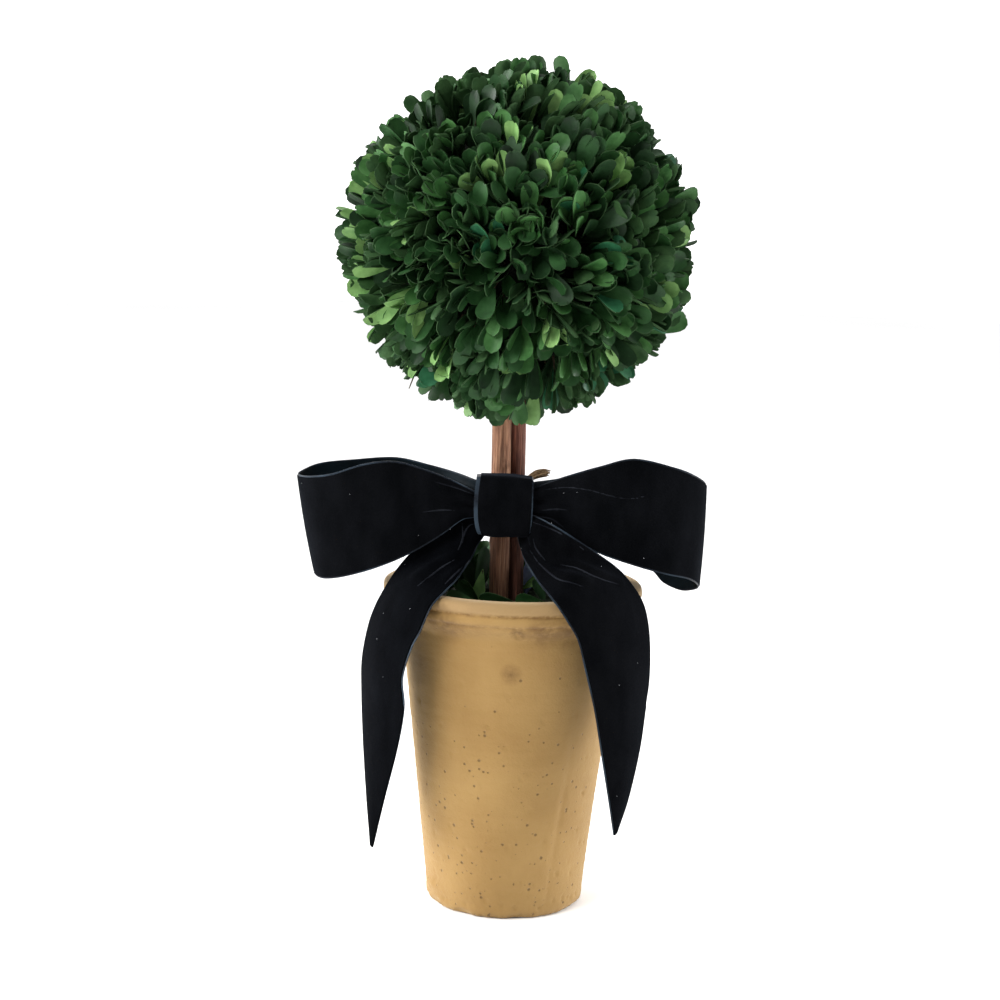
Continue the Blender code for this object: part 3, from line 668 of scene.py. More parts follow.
def leaf_points(leaves):
    """The points of every leaf. Each has a root, a direction, the way its upper side faces, and its shape."""
    root = np.array([leaf["root"] for leaf in leaves])[:, None, None]
    along = np.array([leaf["along"] for leaf in leaves])[:, None, None]
    face = np.array([leaf["face"] for leaf in leaves])[:, None, None]
    side = np.cross(along, face)
    of = {
        key: np.array([leaf[key] for leaf in leaves])[:, None, None]
        for key in ("length", "width", "cup", "curl", "notch", "twist", "wave")
    }
    t = LEAF_STATIONS[None, :, None]
    s = LEAF_COLUMNS[None, None, :]
    outline = 1.44 * np.clip(t, 0.03, 1) ** 0.8 * np.sqrt(1 - np.clip(t, 0, 0.995) ** 5)
    half = of["width"] / 2 * outline
    x = s * half
    y = of["length"] * (t - of["notch"] * (1 - abs(s)) * np.clip((t - 0.8) / 0.2, 0, 1))
    y = y - of["length"] * 0.018 * s**2 * (t > 0.99)
    z = of["cup"] * half * (abs(s) * 0.5 + s**2 * 0.5) * 0.8
    z = z + of["curl"] * of["length"] * (t - 0.15) ** 2
    z = z + of["twist"] * x * t + of["wave"] * half * s * np.sin(5.5 * t + of["twist"] * 9)
    middle = root + side * x[..., None] + along * y[..., None] + face * z[..., None]
    thick = face * LEAF_THICKNESS / 2
    return np.stack([middle + thick, middle - thick], 1).reshape(len(leaves), -1, 3)


def make_leaves(name, leaves, look, slot, *nodes):
    faces, slots = leaf_template()
    points = leaf_points(leaves)
    starts = np.arange(len(leaves))[:, None, None] * points.shape[1]
    all_faces = (faces[None] + starts).reshape(-1, 4)
    all_slots = np.tile(slots, len(leaves))
    looks = [look, LEAF_UNDER, LEAF_RIM]
    piece = make_piece(name, points, all_faces.tolist(), looks, all_slots, sharp=60)
    place(piece, slot, *nodes)


def leaf_form(rng, length):
    return {
        "length": length,
        "width": length * rng.uniform(0.34, 0.47),
        "cup": rng.uniform(0.10, 0.60),
        "curl": rng.gauss(-0.02, 0.14),
        "notch": rng.choice((0.0, 0.0, 0.03, 0.07)),
        "twist": rng.gauss(0, 0.12),
        "wave": rng.uniform(-0.08, 0.08),
    }


def spray_frame(axis, rng):
    across = any_normal(axis)
    beside = axis.cross(across)
    first_turn = rng.uniform(0, math.tau)

    def outward(turn):
        return across * math.cos(first_turn + turn) + beside * math.sin(first_turn + turn)

    return outward


def turned_leaf(axis, outward, lean, roll):
    """The direction of a leaf that leans from its spray's axis, and the way its upper side faces."""
    along = axis * math.cos(lean) + outward * math.sin(lean)
    face = axis * math.sin(lean) - outward * math.cos(lean)
    side = along.cross(face)
    return along, face * math.cos(roll) + side * math.sin(roll)


def deal_colour(axis, rng):
    """The colour group of a spray. More are bright at the upper left, as painted light where the key light
    falls, and blue-green at the right.
    """
    weights = {
        "dark": 0.16,
        "deep": 0.34,
        "mid": 0.28,
        "blue": 0.05 + 0.12 * max(0.0, axis.x),
        # painted light: more bright sprays at the upper left, where the key light falls
        "bright": 0.06 + 0.16 * max(0.0, 0.6 * axis.z - axis.x),
    }
    return rng.choices(list(weights), list(weights.values()))[0]


CROWN_SPRAYS = 320
CROWN_SEED = 11
FILL_SEED = 23
CORE_RADIUS = 0.0460
PARTINGS = {  # lines across the front and the back that the leaves lean away from, on a ball of radius 1
    "front": (Vector((-0.50, 0.0, 0.24)), Vector((0.52, 0.0, -0.26))),
    "back": (Vector((0.48, 0.0, 0.20)), Vector((-0.50, 0.0, -0.30))),
}
PARTING_LEAN = 0.80  # how far the leaves lean out from a parting
WAVE_LEAN = 0.75
SPRAY_WANDER = 0.10
LEAF_ROLL = 0.60  # radians
WAVE_ROLL = 3.2
TIP_SHARES = ((0.920, 1.000), (0.890, 0.985), (0.850, 0.955), (0.760, 0.880))  # of the crown's reach, by pair
FILL_SPRAYS = 640  # places tried over the ball; those by a parting get a low spray
FILL_NEAR = 0.36
FILL_LEAN = 1.5
FILL_SHARES = ((0.880, 0.965), (0.820, 0.920))
# painted shade: the low sprays in the partings lean to the darker colours, for the shade between the leaves
# there
FILL_COLOURS = ("dark", "deep", "deep", "mid")
PAIR_LEANS = ((3, 15), (7, 24), (13, 34), (15, 45))  # degrees from the spray's axis
LEAF_LENGTHS = (0.0155, 0.0190)
NEAR_COLOURS = {
    "dark": ("deep",), "deep": ("dark", "mid"), "mid": ("deep", "bright"), "blue": ("deep",), "bright": ("mid",),
}

# Leaves that stand out of the outline: a point on the leaf, its tip, how far it is turned, its colour

OUTLINE_LEAVES = (
    ((-2.9, -12.0, 320.7), (-3.6, -12.0, 332.0), 0.1, "mid"),
    ((0.1, -7.0, 321.0), (1.0, -7.0, 331.4), -0.3, "deep"),
    ((14.7, -2.0, 320.6), (11.3, -2.0, 333.4), 0.5, "mid"),
    ((17.4, -5.0, 319.4), (25.5, -5.0, 327.6), -0.2, "bright"),
    ((28.2, -4.0, 314.9), (33.0, -4.0, 321.0), 0.3, "blue"),
    ((35.0, -3.0, 310.2), (38.5, -3.0, 317.5), 0.5, "bright"),
    ((36.9, -3.0, 309.5), (43.1, -3.0, 316.5), 0.1, "mid"),
    ((56.1, -8.0, 279.7), (65.8, -8.0, 284.9), 0.9, "mid"),
    ((60.5, -3.0, 275.3), (66.4, -3.0, 282.0), 0.4, "dark"),
    ((54.9, -4.0, 231.7), (64.4, -4.0, 235.5), 0.2, "mid"),
    ((-56.6, -6.0, 280.7), (-66.3, -6.0, 288.4), 0.5, "mid"),
    ((-56.4, -6.0, 274.6), (-68.8, -6.0, 280.4), 0.8, "deep"),
    ((-60.7, -4.0, 270.7), (-72.7, -4.0, 273.0), 1.3, "bright"),
    ((-62.3, -3.0, 268.0), (-72.8, -3.0, 270.0), 1.2, "deep"),
    ((-26.8, -5.0, 314.0), (-30.8, -5.0, 321.8), 0.3, "bright"),
    ((-46.7, -4.0, 300.7), (-51.3, -4.0, 307.4), 0.2, "bright"),
    ((-8.6, -13.0, 199.6), (-7.4, -13.0, 191.6), 0.1, "deep"),
    ((-0.6, -13.0, 199.0), (0.4, -13.0, 192.2), -0.4, "mid"),
    ((6.6, -11.0, 203.0), (6.0, -11.0, 192.0), 0.5, "bright"),
)
BARE_STALKS = (
    ((-20.2, 0.0, 318.0), (-21.1, 0.0, 326.4)),
    ((-17.3, 0.0, 318.0), (-18.0, 0.0, 326.9)),
    ((-10.0, 0.0, 320.0), (-12.3, 0.0, 327.0)),
    ((-40.4, 0.0, 211.0), (-42.9, 0.0, 204.2)),
)


def random_vector(rng, size):
    return Vector((rng.gauss(0, 1), rng.gauss(0, 1), rng.gauss(0, 1))) * size


def from_parting(direction):
    """The way from the nearest parting line to a place on the ball, seen from the front."""
    start, end = PARTINGS["front" if direction.y < 0 else "back"]
    flat = Vector((direction.x, 0.0, direction.z))
    run = end - start
    share = min(1.0, max(0.0, (flat - start).dot(run) / run.length_squared))
    return flat - start.lerp(end, share)


def leaf_flow(direction):
    """How the leaves lean at a place on the ball: away from a parting, in waves."""
    waves = noise.noise_vector(direction * 1.9 + Vector((5.0, 1.0, 3.0)))
    return from_parting(direction) * (PARTING_LEAN * 2 * abs(direction.y)) + waves * WAVE_LEAN


def crown_leaf(base, axis, outward, leans, shares, rng):
    """One leaf of the crown, rooted on its spray's twig where its length brings its tip to the outline."""
    length = rng.uniform(*LEAF_LENGTHS)
    lean = math.radians(rng.uniform(*leans))
    along, _ = turned_leaf(axis, outward, lean, 0.0)
    direction = base.normalized()
    up = direction - along * direction.dot(along)
    if up.length < 0.1:
        up = outward - along * outward.dot(along)
    up.normalize()
    roll = WAVE_ROLL * noise.noise(direction * 2.3 + Vector((1.0, 7.0, 2.0))) + rng.gauss(0, LEAF_ROLL)
    face = up * math.cos(roll) + along.cross(up) * math.sin(roll)
    tip = CROWN_REACH * rng.uniform(*shares)
    reach = base + along * length
    forward = reach.dot(axis)
    rise = math.sqrt(forward**2 - reach.length_squared + tip**2) - forward
    root = CROWN_CENTRE + base + axis * rise + outward * 0.0006
    side = along.cross(face) * length * 0.25
    for share in (0.25, 0.6, 1.0):
        spot = root + along * length * share
        if near_stick(spot) or near_stick(spot + side) or near_stick(spot - side):
            return None
    return {"root": root, "along": along, "face": face, "rise": rise, **leaf_form(rng, length)}


def outline_leaf(point, tip, roll, rng):
    """A leaf of the outline, its face turned towards the front and then rolled."""
    point, tip = Vector(point) * MM, Vector(tip) * MM
    along = (tip - point).normalized()
    up = Vector((0, -1, 0))
    face = up * math.cos(roll) + along.cross(up) * math.sin(roll)
    length = rng.uniform(*LEAF_LENGTHS)
    form = leaf_form(rng, length)
    return {"root": tip - along * length, "along": along, "face": face, **form, "curl": 0.04}


def make_crown():
    """The clipped ball: sprays of leaf pairs on twigs that stand out of a round core."""
    rng = random.Random(CROWN_SEED)
    noise.seed_set(CROWN_SEED)  # noise_vector follows the clock otherwise
    groups = {key: [] for key in LEAF_LOOKS}
    twigs = []
    for direction in even_directions(CROWN_SPRAYS):
        direction = (direction + random_vector(rng, 0.03)).normalized()
        axis = (direction + leaf_flow(direction) + random_vector(rng, SPRAY_WANDER)).normalized()
        base = direction * (CORE_RADIUS - 0.003)
        outward = spray_frame(axis, rng)
        colour = deal_colour(direction, rng)
        highest = None
        for pair in range(len(PAIR_LEANS)):
            shade = colour if rng.random() < 0.65 else rng.choice(NEAR_COLOURS[colour])
            # painted shade: the innermost pair, deep in the ball, is always dark
            if pair == 3:
                shade = "dark"
            for half in range(2):
                turn = math.pi * (half + pair / 2) + rng.uniform(-0.35, 0.35)
                leaf = crown_leaf(base, axis, outward(turn), PAIR_LEANS[pair], TIP_SHARES[pair], rng)
                if leaf:
                    groups[shade].append(leaf)
                    highest = max(highest or 0.0, leaf["rise"])
        top = CROWN_CENTRE + base + axis * ((highest or 0.0) + 0.001)
        if highest is not None and not near_stick(top):
            low = CROWN_CENTRE + base
            twigs.append(([low, low.lerp(top, 0.5), top], [0.0006, 0.0005, 0.0003], 5))
    fill_partings(twigs)
    for point, tip, roll, shade in OUTLINE_LEAVES:
        groups[shade].append(outline_leaf(point, tip, roll, rng))
    for low, top in BARE_STALKS:
        low, top = Vector(low) * MM, Vector(top) * MM
        twigs.append(([low, low.lerp(top, 0.5), top], [0.0004, 0.0003, 0.0002], 5))
    for key, leaves in groups.items():
        make_leaves("leaves_" + key, leaves, LEAF_LOOKS[key], "leaves", "foliage_ball")
    place(joined_tubes("crown_twigs", twigs, TWIG), "bark", "foliage_ball")
    make_core()


def fill_partings(twigs):
    """Low sprays that lean every way, between the leaves that lean out from a parting."""
    rng = random.Random(FILL_SEED)
    groups = {key: [] for key in FILL_COLOURS}
    for direction in even_directions(FILL_SPRAYS):
        if abs(direction.y) < 0.5 or from_parting(direction).length > FILL_NEAR:
            continue
        sway = noise.noise_vector(direction * 3.3 + Vector((2.0, 9.0, 4.0)))
        axis = (direction + sway * FILL_LEAN + random_vector(rng, 0.12)).normalized()
        base = direction * (CORE_RADIUS - 0.003)
        outward = spray_frame(axis, rng)
        shade = rng.choice(FILL_COLOURS)
        rises = []
        for pair, shares in enumerate(FILL_SHARES):
            for half in range(2):
                turn = math.pi * (half + pair / 2) + rng.uniform(-0.35, 0.35)
                leaf = crown_leaf(base, axis, outward(turn), PAIR_LEANS[pair + 1], shares, rng)
                if leaf:
                    groups[shade].append(leaf)
                    rises.append(leaf["rise"])
        if rises:
            low = CROWN_CENTRE + base
            top = low + axis * (max(rises) + 0.001)
            twigs.append(([low, low.lerp(top, 0.5), top], [0.0006, 0.0005, 0.0003], 5))
    for key, leaves in groups.items():
        make_leaves("leaves_low_" + key, leaves, LEAF_LOOKS[key], "leaves", "foliage_ball")


def make_core():
    """The core that the crown's twigs stand in, painted near-black for the shade deep in the ball."""
    mesh = bpy.data.meshes.new("crown_core")
    shape = bmesh.new()
    bmesh.ops.create_icosphere(shape, subdivisions=5, radius=CORE_RADIUS)
    for vert in shape.verts:
        bumps = noise.noise(vert.co * 160) * 0.0022 + noise.noise(vert.co * 420) * 0.0008
        vert.co += vert.co.normalized() * bumps
    bmesh.ops.translate(shape, verts=shape.verts, vec=CROWN_CENTRE)
    shape.to_mesh(mesh)
    shape.free()
    mesh.materials.append(CORE)
    mesh.shade_smooth()
    core = bpy.data.objects.new("crown_core", mesh)
    bpy.context.scene.collection.objects.link(core)
    place(core, "leaves", "foliage_ball")


MOUTH_SPRAYS = 64
MOUTH_SEED = 5
MOUTH_BED = 0.0060
MOUTH_RING = (0.0135, 0.0375)
MOUTH_TOP = 0.1440
MOUTH_TOP_FRONT = 0.1320


def mouth_space(point):
    """Whether a point lies in the pot's mouth or above it, clear of the wall, sticks and tails."""
    radius = math.hypot(point.x, point.y)
    widest = 0.0320 if point.z > POT_HEIGHT - RIM_ROUND else float(inner_radius(point.z)) - 0.0008
    top = MOUTH_TOP_FRONT if point.y < -0.006 else MOUTH_TOP
    return radius < widest and point.z < top and not near_stick(point)


# Leaves seen in the pot's mouth: root and tip in millimetres, width over length, how far it is turned, colour

MOUTH_LEAVES = (
    ((-15.0, -9.5, 119.7), (-11.0, -9.5, 144.0), 0.22, 0.3, "dark"),
    ((-19.6, 6.0, 118.2), (-13.6, 6.0, 140.3), 0.28, -0.3, "deep"),
    ((-16.7, -3.0, 118.6), (-17.7, -3.0, 136.8), 0.30, 0.5, "dark"),
    ((-12.4, -14.0, 121.1), (-20.9, -14.0, 131.0), 0.46, -0.2, "deep"),
    ((-11.9, -12.0, 135.4), (-13.9, -12.0, 122.6), 0.40, 0.1, "bright"),
    ((-13.3, -30.0, 125.0), (-26.0, -30.0, 127.3), 0.55, 0.3, "deep"),
    ((2.4, -27.0, 124.8), (-13.4, -27.0, 125.8), 0.54, -0.4, "dark"),
    ((15.0, -25.0, 124.0), (0.6, -25.0, 125.4), 0.58, -0.3, "deep"),
    ((3.6, 5.0, 124.6), (11.0, 5.0, 130.2), 0.42, 0.2, "bright"),
    ((5.2, 8.0, 122.0), (8.6, 8.0, 136.0), 0.50, 0.1, "faded_painted_light"),
    ((13.0, -5.0, 120.1), (8.7, -5.0, 131.2), 0.40, 0.4, "dark"),
    ((6.0, 17.0, 117.0), (12.0, 21.5, 132.5), 0.48, 2.8, "deep"),
    ((14.0, 13.0, 117.0), (19.5, 15.5, 133.0), 0.45, 3.5, "dark"),
    ((-1.0, 19.0, 117.0), (3.0, 22.5, 135.0), 0.48, 3.3, "deep"),
    ((-8.0, 17.0, 117.0), (-6.0, 22.0, 136.0), 0.46, 2.7, "dark"),
    ((-14.0, 14.0, 117.0), (-17.0, 18.5, 136.5), 0.46, 3.6, "deep"),
)


def mouth_leaf(root, tip, width, roll, rng):
    """One of the leaves above, its upper side turned to the front and then rolled."""
    root, tip = Vector(root) * MM, Vector(tip) * MM
    along = (tip - root).normalized()
    up = Vector((0, -1, 0)) - along * -along.y
    up.normalize()
    face = up * math.cos(roll) + along.cross(up) * math.sin(roll)
    length = (tip - root).length
    form = leaf_form(rng, length)
    return {"root": root, "along": along, "face": face, **form, "width": length * width, "curl": -0.05}


def make_mouth():
    """The leaves in the pot's mouth, on a low bed of moss round the sticks."""
    rng = random.Random(MOUTH_SEED)
    groups = {key: [] for key in ("dark", "deep", "bright", "faded_painted_light")}
    stalks = []
    for root, tip, width, roll, shade in MOUTH_LEAVES:
        leaf = mouth_leaf(root, tip, width, roll, rng)
        groups[shade].append(leaf)
        foot = Vector((leaf["root"].x, leaf["root"].y, FILLER_TOP + MOUTH_BED - 0.001))
        head = leaf["root"] + leaf["along"] * 0.0004
        bend = foot.lerp(head, 0.5) + Vector((0, 0.0006, 0))
        stalks.append((smooth_through([tuple(foot), tuple(bend), tuple(head)], 4), 0.0004, 6))
    place(joined_tubes("mouth_stalks", stalks, TWIG), "bark", "mouth_foliage")
    golden = math.pi * (3 - math.sqrt(5))
    for number in range(MOUTH_SPRAYS):
        share = (number + 0.5) / MOUTH_SPRAYS
        radius = MOUTH_RING[0] + (MOUTH_RING[1] - MOUTH_RING[0]) * math.sqrt(share)
        outward = Vector((math.cos(golden * number), math.sin(golden * number), 0))
        base = outward * radius + Vector((0, 0, FILLER_TOP + MOUTH_BED - 0.001))
        axis = (Vector((0, 0, 1)) + outward * rng.uniform(-0.25, 0.45)).normalized()
        spray_outward = spray_frame(axis, rng)
        colour = rng.choice(("dark", "deep", "deep"))
        for pair in range(3):
            for half in range(2):
                turn = math.pi * (half + pair / 2) + rng.uniform(-0.35, 0.35)
                away = spray_outward(turn)
                lean = math.radians(rng.uniform(*PAIR_LEANS[pair]) + 10)
                along, face = turned_leaf(axis, away, lean, rng.gauss(0, 0.3))
                length = rng.uniform(0.012, 0.018)
                root = base + axis * (0.005 - 0.002 * pair) + away * 0.0006
                side = along.cross(face) * length * 0.28
                spots = [root + along * length * part for part in (0.4, 0.7, 1.0)]
                spots += [spots[1] + side, spots[1] - side]
                if all(mouth_space(spot) for spot in spots):
                    form = leaf_form(rng, length)
                    groups[colour].append({"root": root, "along": along, "face": face, **form})
    for key, leaves in groups.items():
        look = FADED_LEAF_PAINTED_LIGHT if key == "faded_painted_light" else LEAF_LOOKS[key]
        make_leaves("mouth_leaves_" + key, leaves, look, "leaves", "mouth_foliage")
    make_bed()


def make_bed():
    """The moss under the mouth's leaves: a low bumpy ring on the foam."""
    sides = 120
    inner, outer = 0.0108, float(inner_radius(FILLER_TOP + 0.003)) - 0.0006
    low, high = FILLER_TOP + 0.0003, FILLER_TOP + MOUTH_BED
    section = [(inner, low), (inner, high - 0.001), (inner + 0.001, high)]
    section += [(inner + (outer - inner) * k / 14, high) for k in range(1, 14)]
    section += [(outer, high - 0.0015), (outer, low)]
    turns = np.linspace(0, math.tau, sides, endpoint=False)
    rows = np.zeros((sides, len(section), 3))
    for i, turn in enumerate(turns):
        for j, (radius, height) in enumerate(section):
            x, y = radius * math.cos(turn), radius * math.sin(turn)
            if height > low:
                height += noise.noise(Vector((x * 190, y * 190, 2.0))) * 0.0014 - 0.0004
            rows[i, j] = (x, y, height)
    faces = grid_faces(sides, len(section), close_rows=True, close_columns=True).tolist()
    bed = make_piece("mouth_moss", rows, [f[::-1] for f in faces], [MOSS])
    place(bed, "leaves", "mouth_foliage")


# The ribbon bow. A station holds one edge point of the ribbon and the other, in millimetres.

LEFT_LOOP = (  # upper edge, lower edge: from the knot along the front, round the end and back
    ((-10.9, -16.0, 165.3), (-10.9, -16.0, 158.0)),
    ((-15.9, -16.5, 166.9), (-15.9, -16.5, 156.2)),
    ((-23.6, -18.5, 170.8), (-20.5, -18.0, 155.2)),
    ((-33.2, -20.5, 174.7), (-29.0, -20.0, 149.0)),
    ((-46.2, -23.0, 178.3), (-41.0, -22.0, 141.9)),
    ((-58.5, -22.5, 176.9), (-53.0, -21.0, 136.3)),
    ((-70.8, -20.0, 172.5), (-65.0, -17.5, 132.0)),
    ((-80.0, -15.0, 170.6), (-73.5, -12.5, 129.9)),
    ((-85.0, -8.0, 170.3), (-77.8, -5.5, 130.1)),
    ((-83.5, -1.5, 171.4), (-76.5, 0.5, 131.0)),
    ((-77.0, 3.5, 173.6), (-70.0, 4.5, 132.5)),
    ((-64.0, 6.0, 175.0), (-58.0, 6.0, 136.0)),
    ((-47.7, 6.0, 176.3), (-43.0, 5.5, 142.0)),
    ((-34.0, 3.0, 174.0), (-31.0, 3.0, 148.0)),
    ((-24.0, -3.5, 172.2), (-22.5, -4.0, 154.0)),
    ((-15.9, -11.5, 170.4), (-15.9, -11.5, 157.0)),
    ((-10.9, -12.5, 169.6), (-10.9, -12.5, 158.5)),
)

RIGHT_LOOP = (  # lower edge, upper edge: as the left one, but its back hangs lower
    ((2.4, -16.0, 158.2), (2.4, -16.0, 166.8)),
    ((7.4, -16.5, 156.2), (7.4, -16.5, 168.8)),
    ((13.5, -18.0, 153.8), (14.2, -18.0, 171.9)),
    ((19.5, -19.5, 151.2), (19.6, -19.5, 174.2)),
    ((32.3, -22.0, 144.8), (31.9, -22.0, 178.5)),
    ((46.7, -23.0, 140.3), (45.0, -23.5, 182.0)),
    ((59.0, -21.5, 137.0), (60.8, -21.0, 178.7)),
    ((68.0, -16.0, 134.5), (69.0, -15.5, 175.2)),
    ((72.5, -8.0, 131.0), (74.0, -8.0, 171.2)),
    ((72.8, -1.5, 128.0), (72.5, -1.5, 168.5)),
    ((67.5, 3.6, 126.3), (66.0, 3.5, 168.0)),
    ((60.3, 6.0, 128.8), (58.5, 5.5, 169.5)),
    ((55.0, 6.2, 134.0), (52.5, 5.6, 170.6)),
    ((46.5, 6.0, 138.0), (45.0, 5.5, 172.0)),
    ((31.0, 3.0, 144.5), (30.0, 3.0, 173.2)),
    ((17.0, -4.0, 152.0), (16.5, -4.0, 171.0)),
    ((7.4, -11.5, 156.8), (7.4, -11.5, 170.6)),
    ((2.4, -12.5, 158.2), (2.4, -12.5, 169.8)),
)

LEFT_TAIL = (  # outer edge, inner edge: from under the knot, over the pot's rim, down to the tip
    ((-10.5, -14.2, 158.4), (-9.6, -13.0, 153.5)),
    ((-15.8, -14.2, 157.5), (-11.2, -12.8, 149.3)),
    ((-23.2, -14.0, 154.4), (-13.9, -14.5, 145.3)),
    ((-32.0, -13.5, 148.2), (-16.2, -20.0, 141.1)),
    ((-39.7, -13.0, 141.6), (-21.1, -31.0, 135.0)),
    ((-45.0, -13.0, 135.1), (-25.5, -40.0, 131.6)),
    ((-49.9, -13.5, 127.0), (-30.4, -45.5, 126.7)),
    ((-53.6, -12.5, 119.5), (-34.4, -45.5, 117.0)),
    ((-56.4, -10.0, 110.5), (-37.8, -44.5, 109.8)),
    ((-58.4, -9.0, 98.0), (-40.8, -43.5, 98.0)),
    ((-58.4, -9.0, 86.0), (-40.0, -43.0, 86.5)),
    ((-57.4, -10.0, 66.5), (-42.6, -37.0, 69.0)),
    ((-55.4, -13.0, 43.5), (-47.9, -27.5, 45.0)),
    ((-53.2, -18.0, 25.0), (-52.2, -19.5, 24.0)),
)

RIGHT_TAIL = (  # inner edge, outer edge
    ((1.2, -14.5, 154.0), (4.6, -17.2, 158.4)),
    ((1.6, -14.2, 149.3), (8.0, -19.5, 158.0)),
    ((3.0, -15.5, 144.6), (12.8, -24.5, 156.4)),
    ((4.8, -21.0, 140.0), (19.5, -26.8, 153.2)),
    ((8.8, -33.0, 135.2), (31.7, -27.0, 145.7)),
    ((13.3, -44.5, 131.9), (40.5, -25.2, 139.2)),
    ((17.0, -50.0, 128.2), (46.5, -23.2, 132.3)),
    ((20.3, -51.5, 123.6), (50.6, -22.0, 125.5)),
    ((24.6, -50.5, 116.2), (52.8, -22.0, 117.5)),
    ((27.4, -49.5, 106.0), (53.8, -23.0, 107.5)),
    ((30.7, -49.0, 93.6), (53.8, -24.0, 95.8)),
    ((32.6, -48.0, 85.2), (52.6, -26.0, 85.8)),
    ((35.2, -46.0, 71.0), (50.6, -29.0, 69.2)),
    ((38.8, -41.0, 52.0), (46.8, -32.0, 50.7)),
    ((41.5, -36.6, 37.0), (42.7, -35.6, 38.4)),
)

LEFT_TAIL_CUT = 10  # the station where the slanting cut of the inner edge begins
RIGHT_TAIL_CUT = 11

# Creases where the pile catches the light: points (x, z) in millimetres, a height and a width in metres

LEFT_LOOP_CREASES = (
    (((-36.7, 158.7), (-29.0, 159.5), (-22.8, 159.3)), 0.0005, 0.0012),
    (((-17.0, 166.0), (-24.0, 168.5), (-33.0, 171.0)), 0.0006, 0.0016),
)
RIGHT_LOOP_CREASES = (
    (((9.0, 167.9), (18.8, 169.8), (28.1, 169.3), (34.7, 167.8), (42.8, 166.6), (50.4, 168.0)), 0.0009, 0.0013),
    (((9.0, 160.3), (15.7, 161.1), (21.5, 161.1)), 0.0006, 0.0011),
    (((8.1, 157.6), (13.9, 157.0), (17.5, 154.9), (22.3, 151.4)), 0.0006, 0.0010),
)
LEFT_TAIL_CREASES = (
    (((-20.5, 154.0), (-20.0, 148.6), (-21.8, 143.8)), 0.0006, 0.0010),
    (((-14.3, 153.9), (-17.4, 153.0), (-19.4, 150.0), (-20.3, 145.1)), 0.0005, 0.0009),
    (((-22.8, 140.9), (-27.4, 138.5), (-32.3, 135.2), (-36.2, 132.3)), 0.0009, 0.0013),
    (((-18.4, 139.5), (-22.1, 136.6), (-25.9, 133.8)), 0.0006, 0.0010),
)
RIGHT_TAIL_CREASES = (
    (((7.0, 155.9), (12.8, 154.6), (19.8, 151.6), (28.3, 145.7)), 0.0006, 0.0009),
    (((6.1, 145.1), (10.0, 141.0), (16.3, 137.2), (21.7, 136.2), (26.7, 134.8)), 0.0009, 0.0013),
    (((17.7, 141.6), (24.2, 140.6), (31.3, 137.7), (40.2, 134.4)), 0.0007, 0.0012),
    (((7.2, 150.1), (8.4, 146.2), (12.0, 142.4)), 0.0006, 0.0010),
)

CREASE_STEPS = 8
CREASE_RADIUS = 0.00042
CREASE_SUNK = 0.00022
LOOP_FRONT = 0.42  # how much of a loop's length lies in front
LINT_SEED = 40
LINT_COUNT = 6
RIBBON_STEPS = 8
RIBBON_COLUMNS = 36
SELVEDGE_WIDTH = 0.0006
PILE_STEP = 0.0002
PILE_HEIGHT = 0.00055
BACK_DEPTH = 0.00025


def crease_relief(grid, creases, front_share):
    """The ridges that creases raise on a ribbon, over the part of its length that lies in front."""
    relief = np.zeros(grid.shape[:2])
    for points, height, width in creases:
        line = smooth_through(np.array(points) * MM, CREASE_STEPS)
        away = np.hypot(grid[..., 0, None] - line[:, 0], grid[..., 2, None] - line[:, 1]).min(-1)
        relief += height * np.exp(-((away / width) ** 2))
    relief[int(len(grid) * front_share):] = 0
    return relief


def crease_lines(front, creases, front_share):
    """Thin lines of raised pile along the creases, lighter in colour as painted highlight."""
    tubes = []
    flat = front[: int(len(front) * front_share)].reshape(-1, 3)
    for points, _, _ in creases:
        path = []
        for x, z in smooth_through(np.array(points) * MM, CREASE_STEPS):
            away = np.hypot(flat[:, 0] - x, flat[:, 2] - z)
            near = np.argsort(away)[:4]
            weights = 1 / (away[near] + 0.0001)
            path.append((x, (flat[near, 1] * weights).sum() / weights.sum() + CREASE_SUNK, z))
        share = np.linspace(0, 1, len(path))
        tubes.append((path, CREASE_RADIUS * (0.45 + 0.55 * np.sin(math.pi * share)), 6))
    return tubes


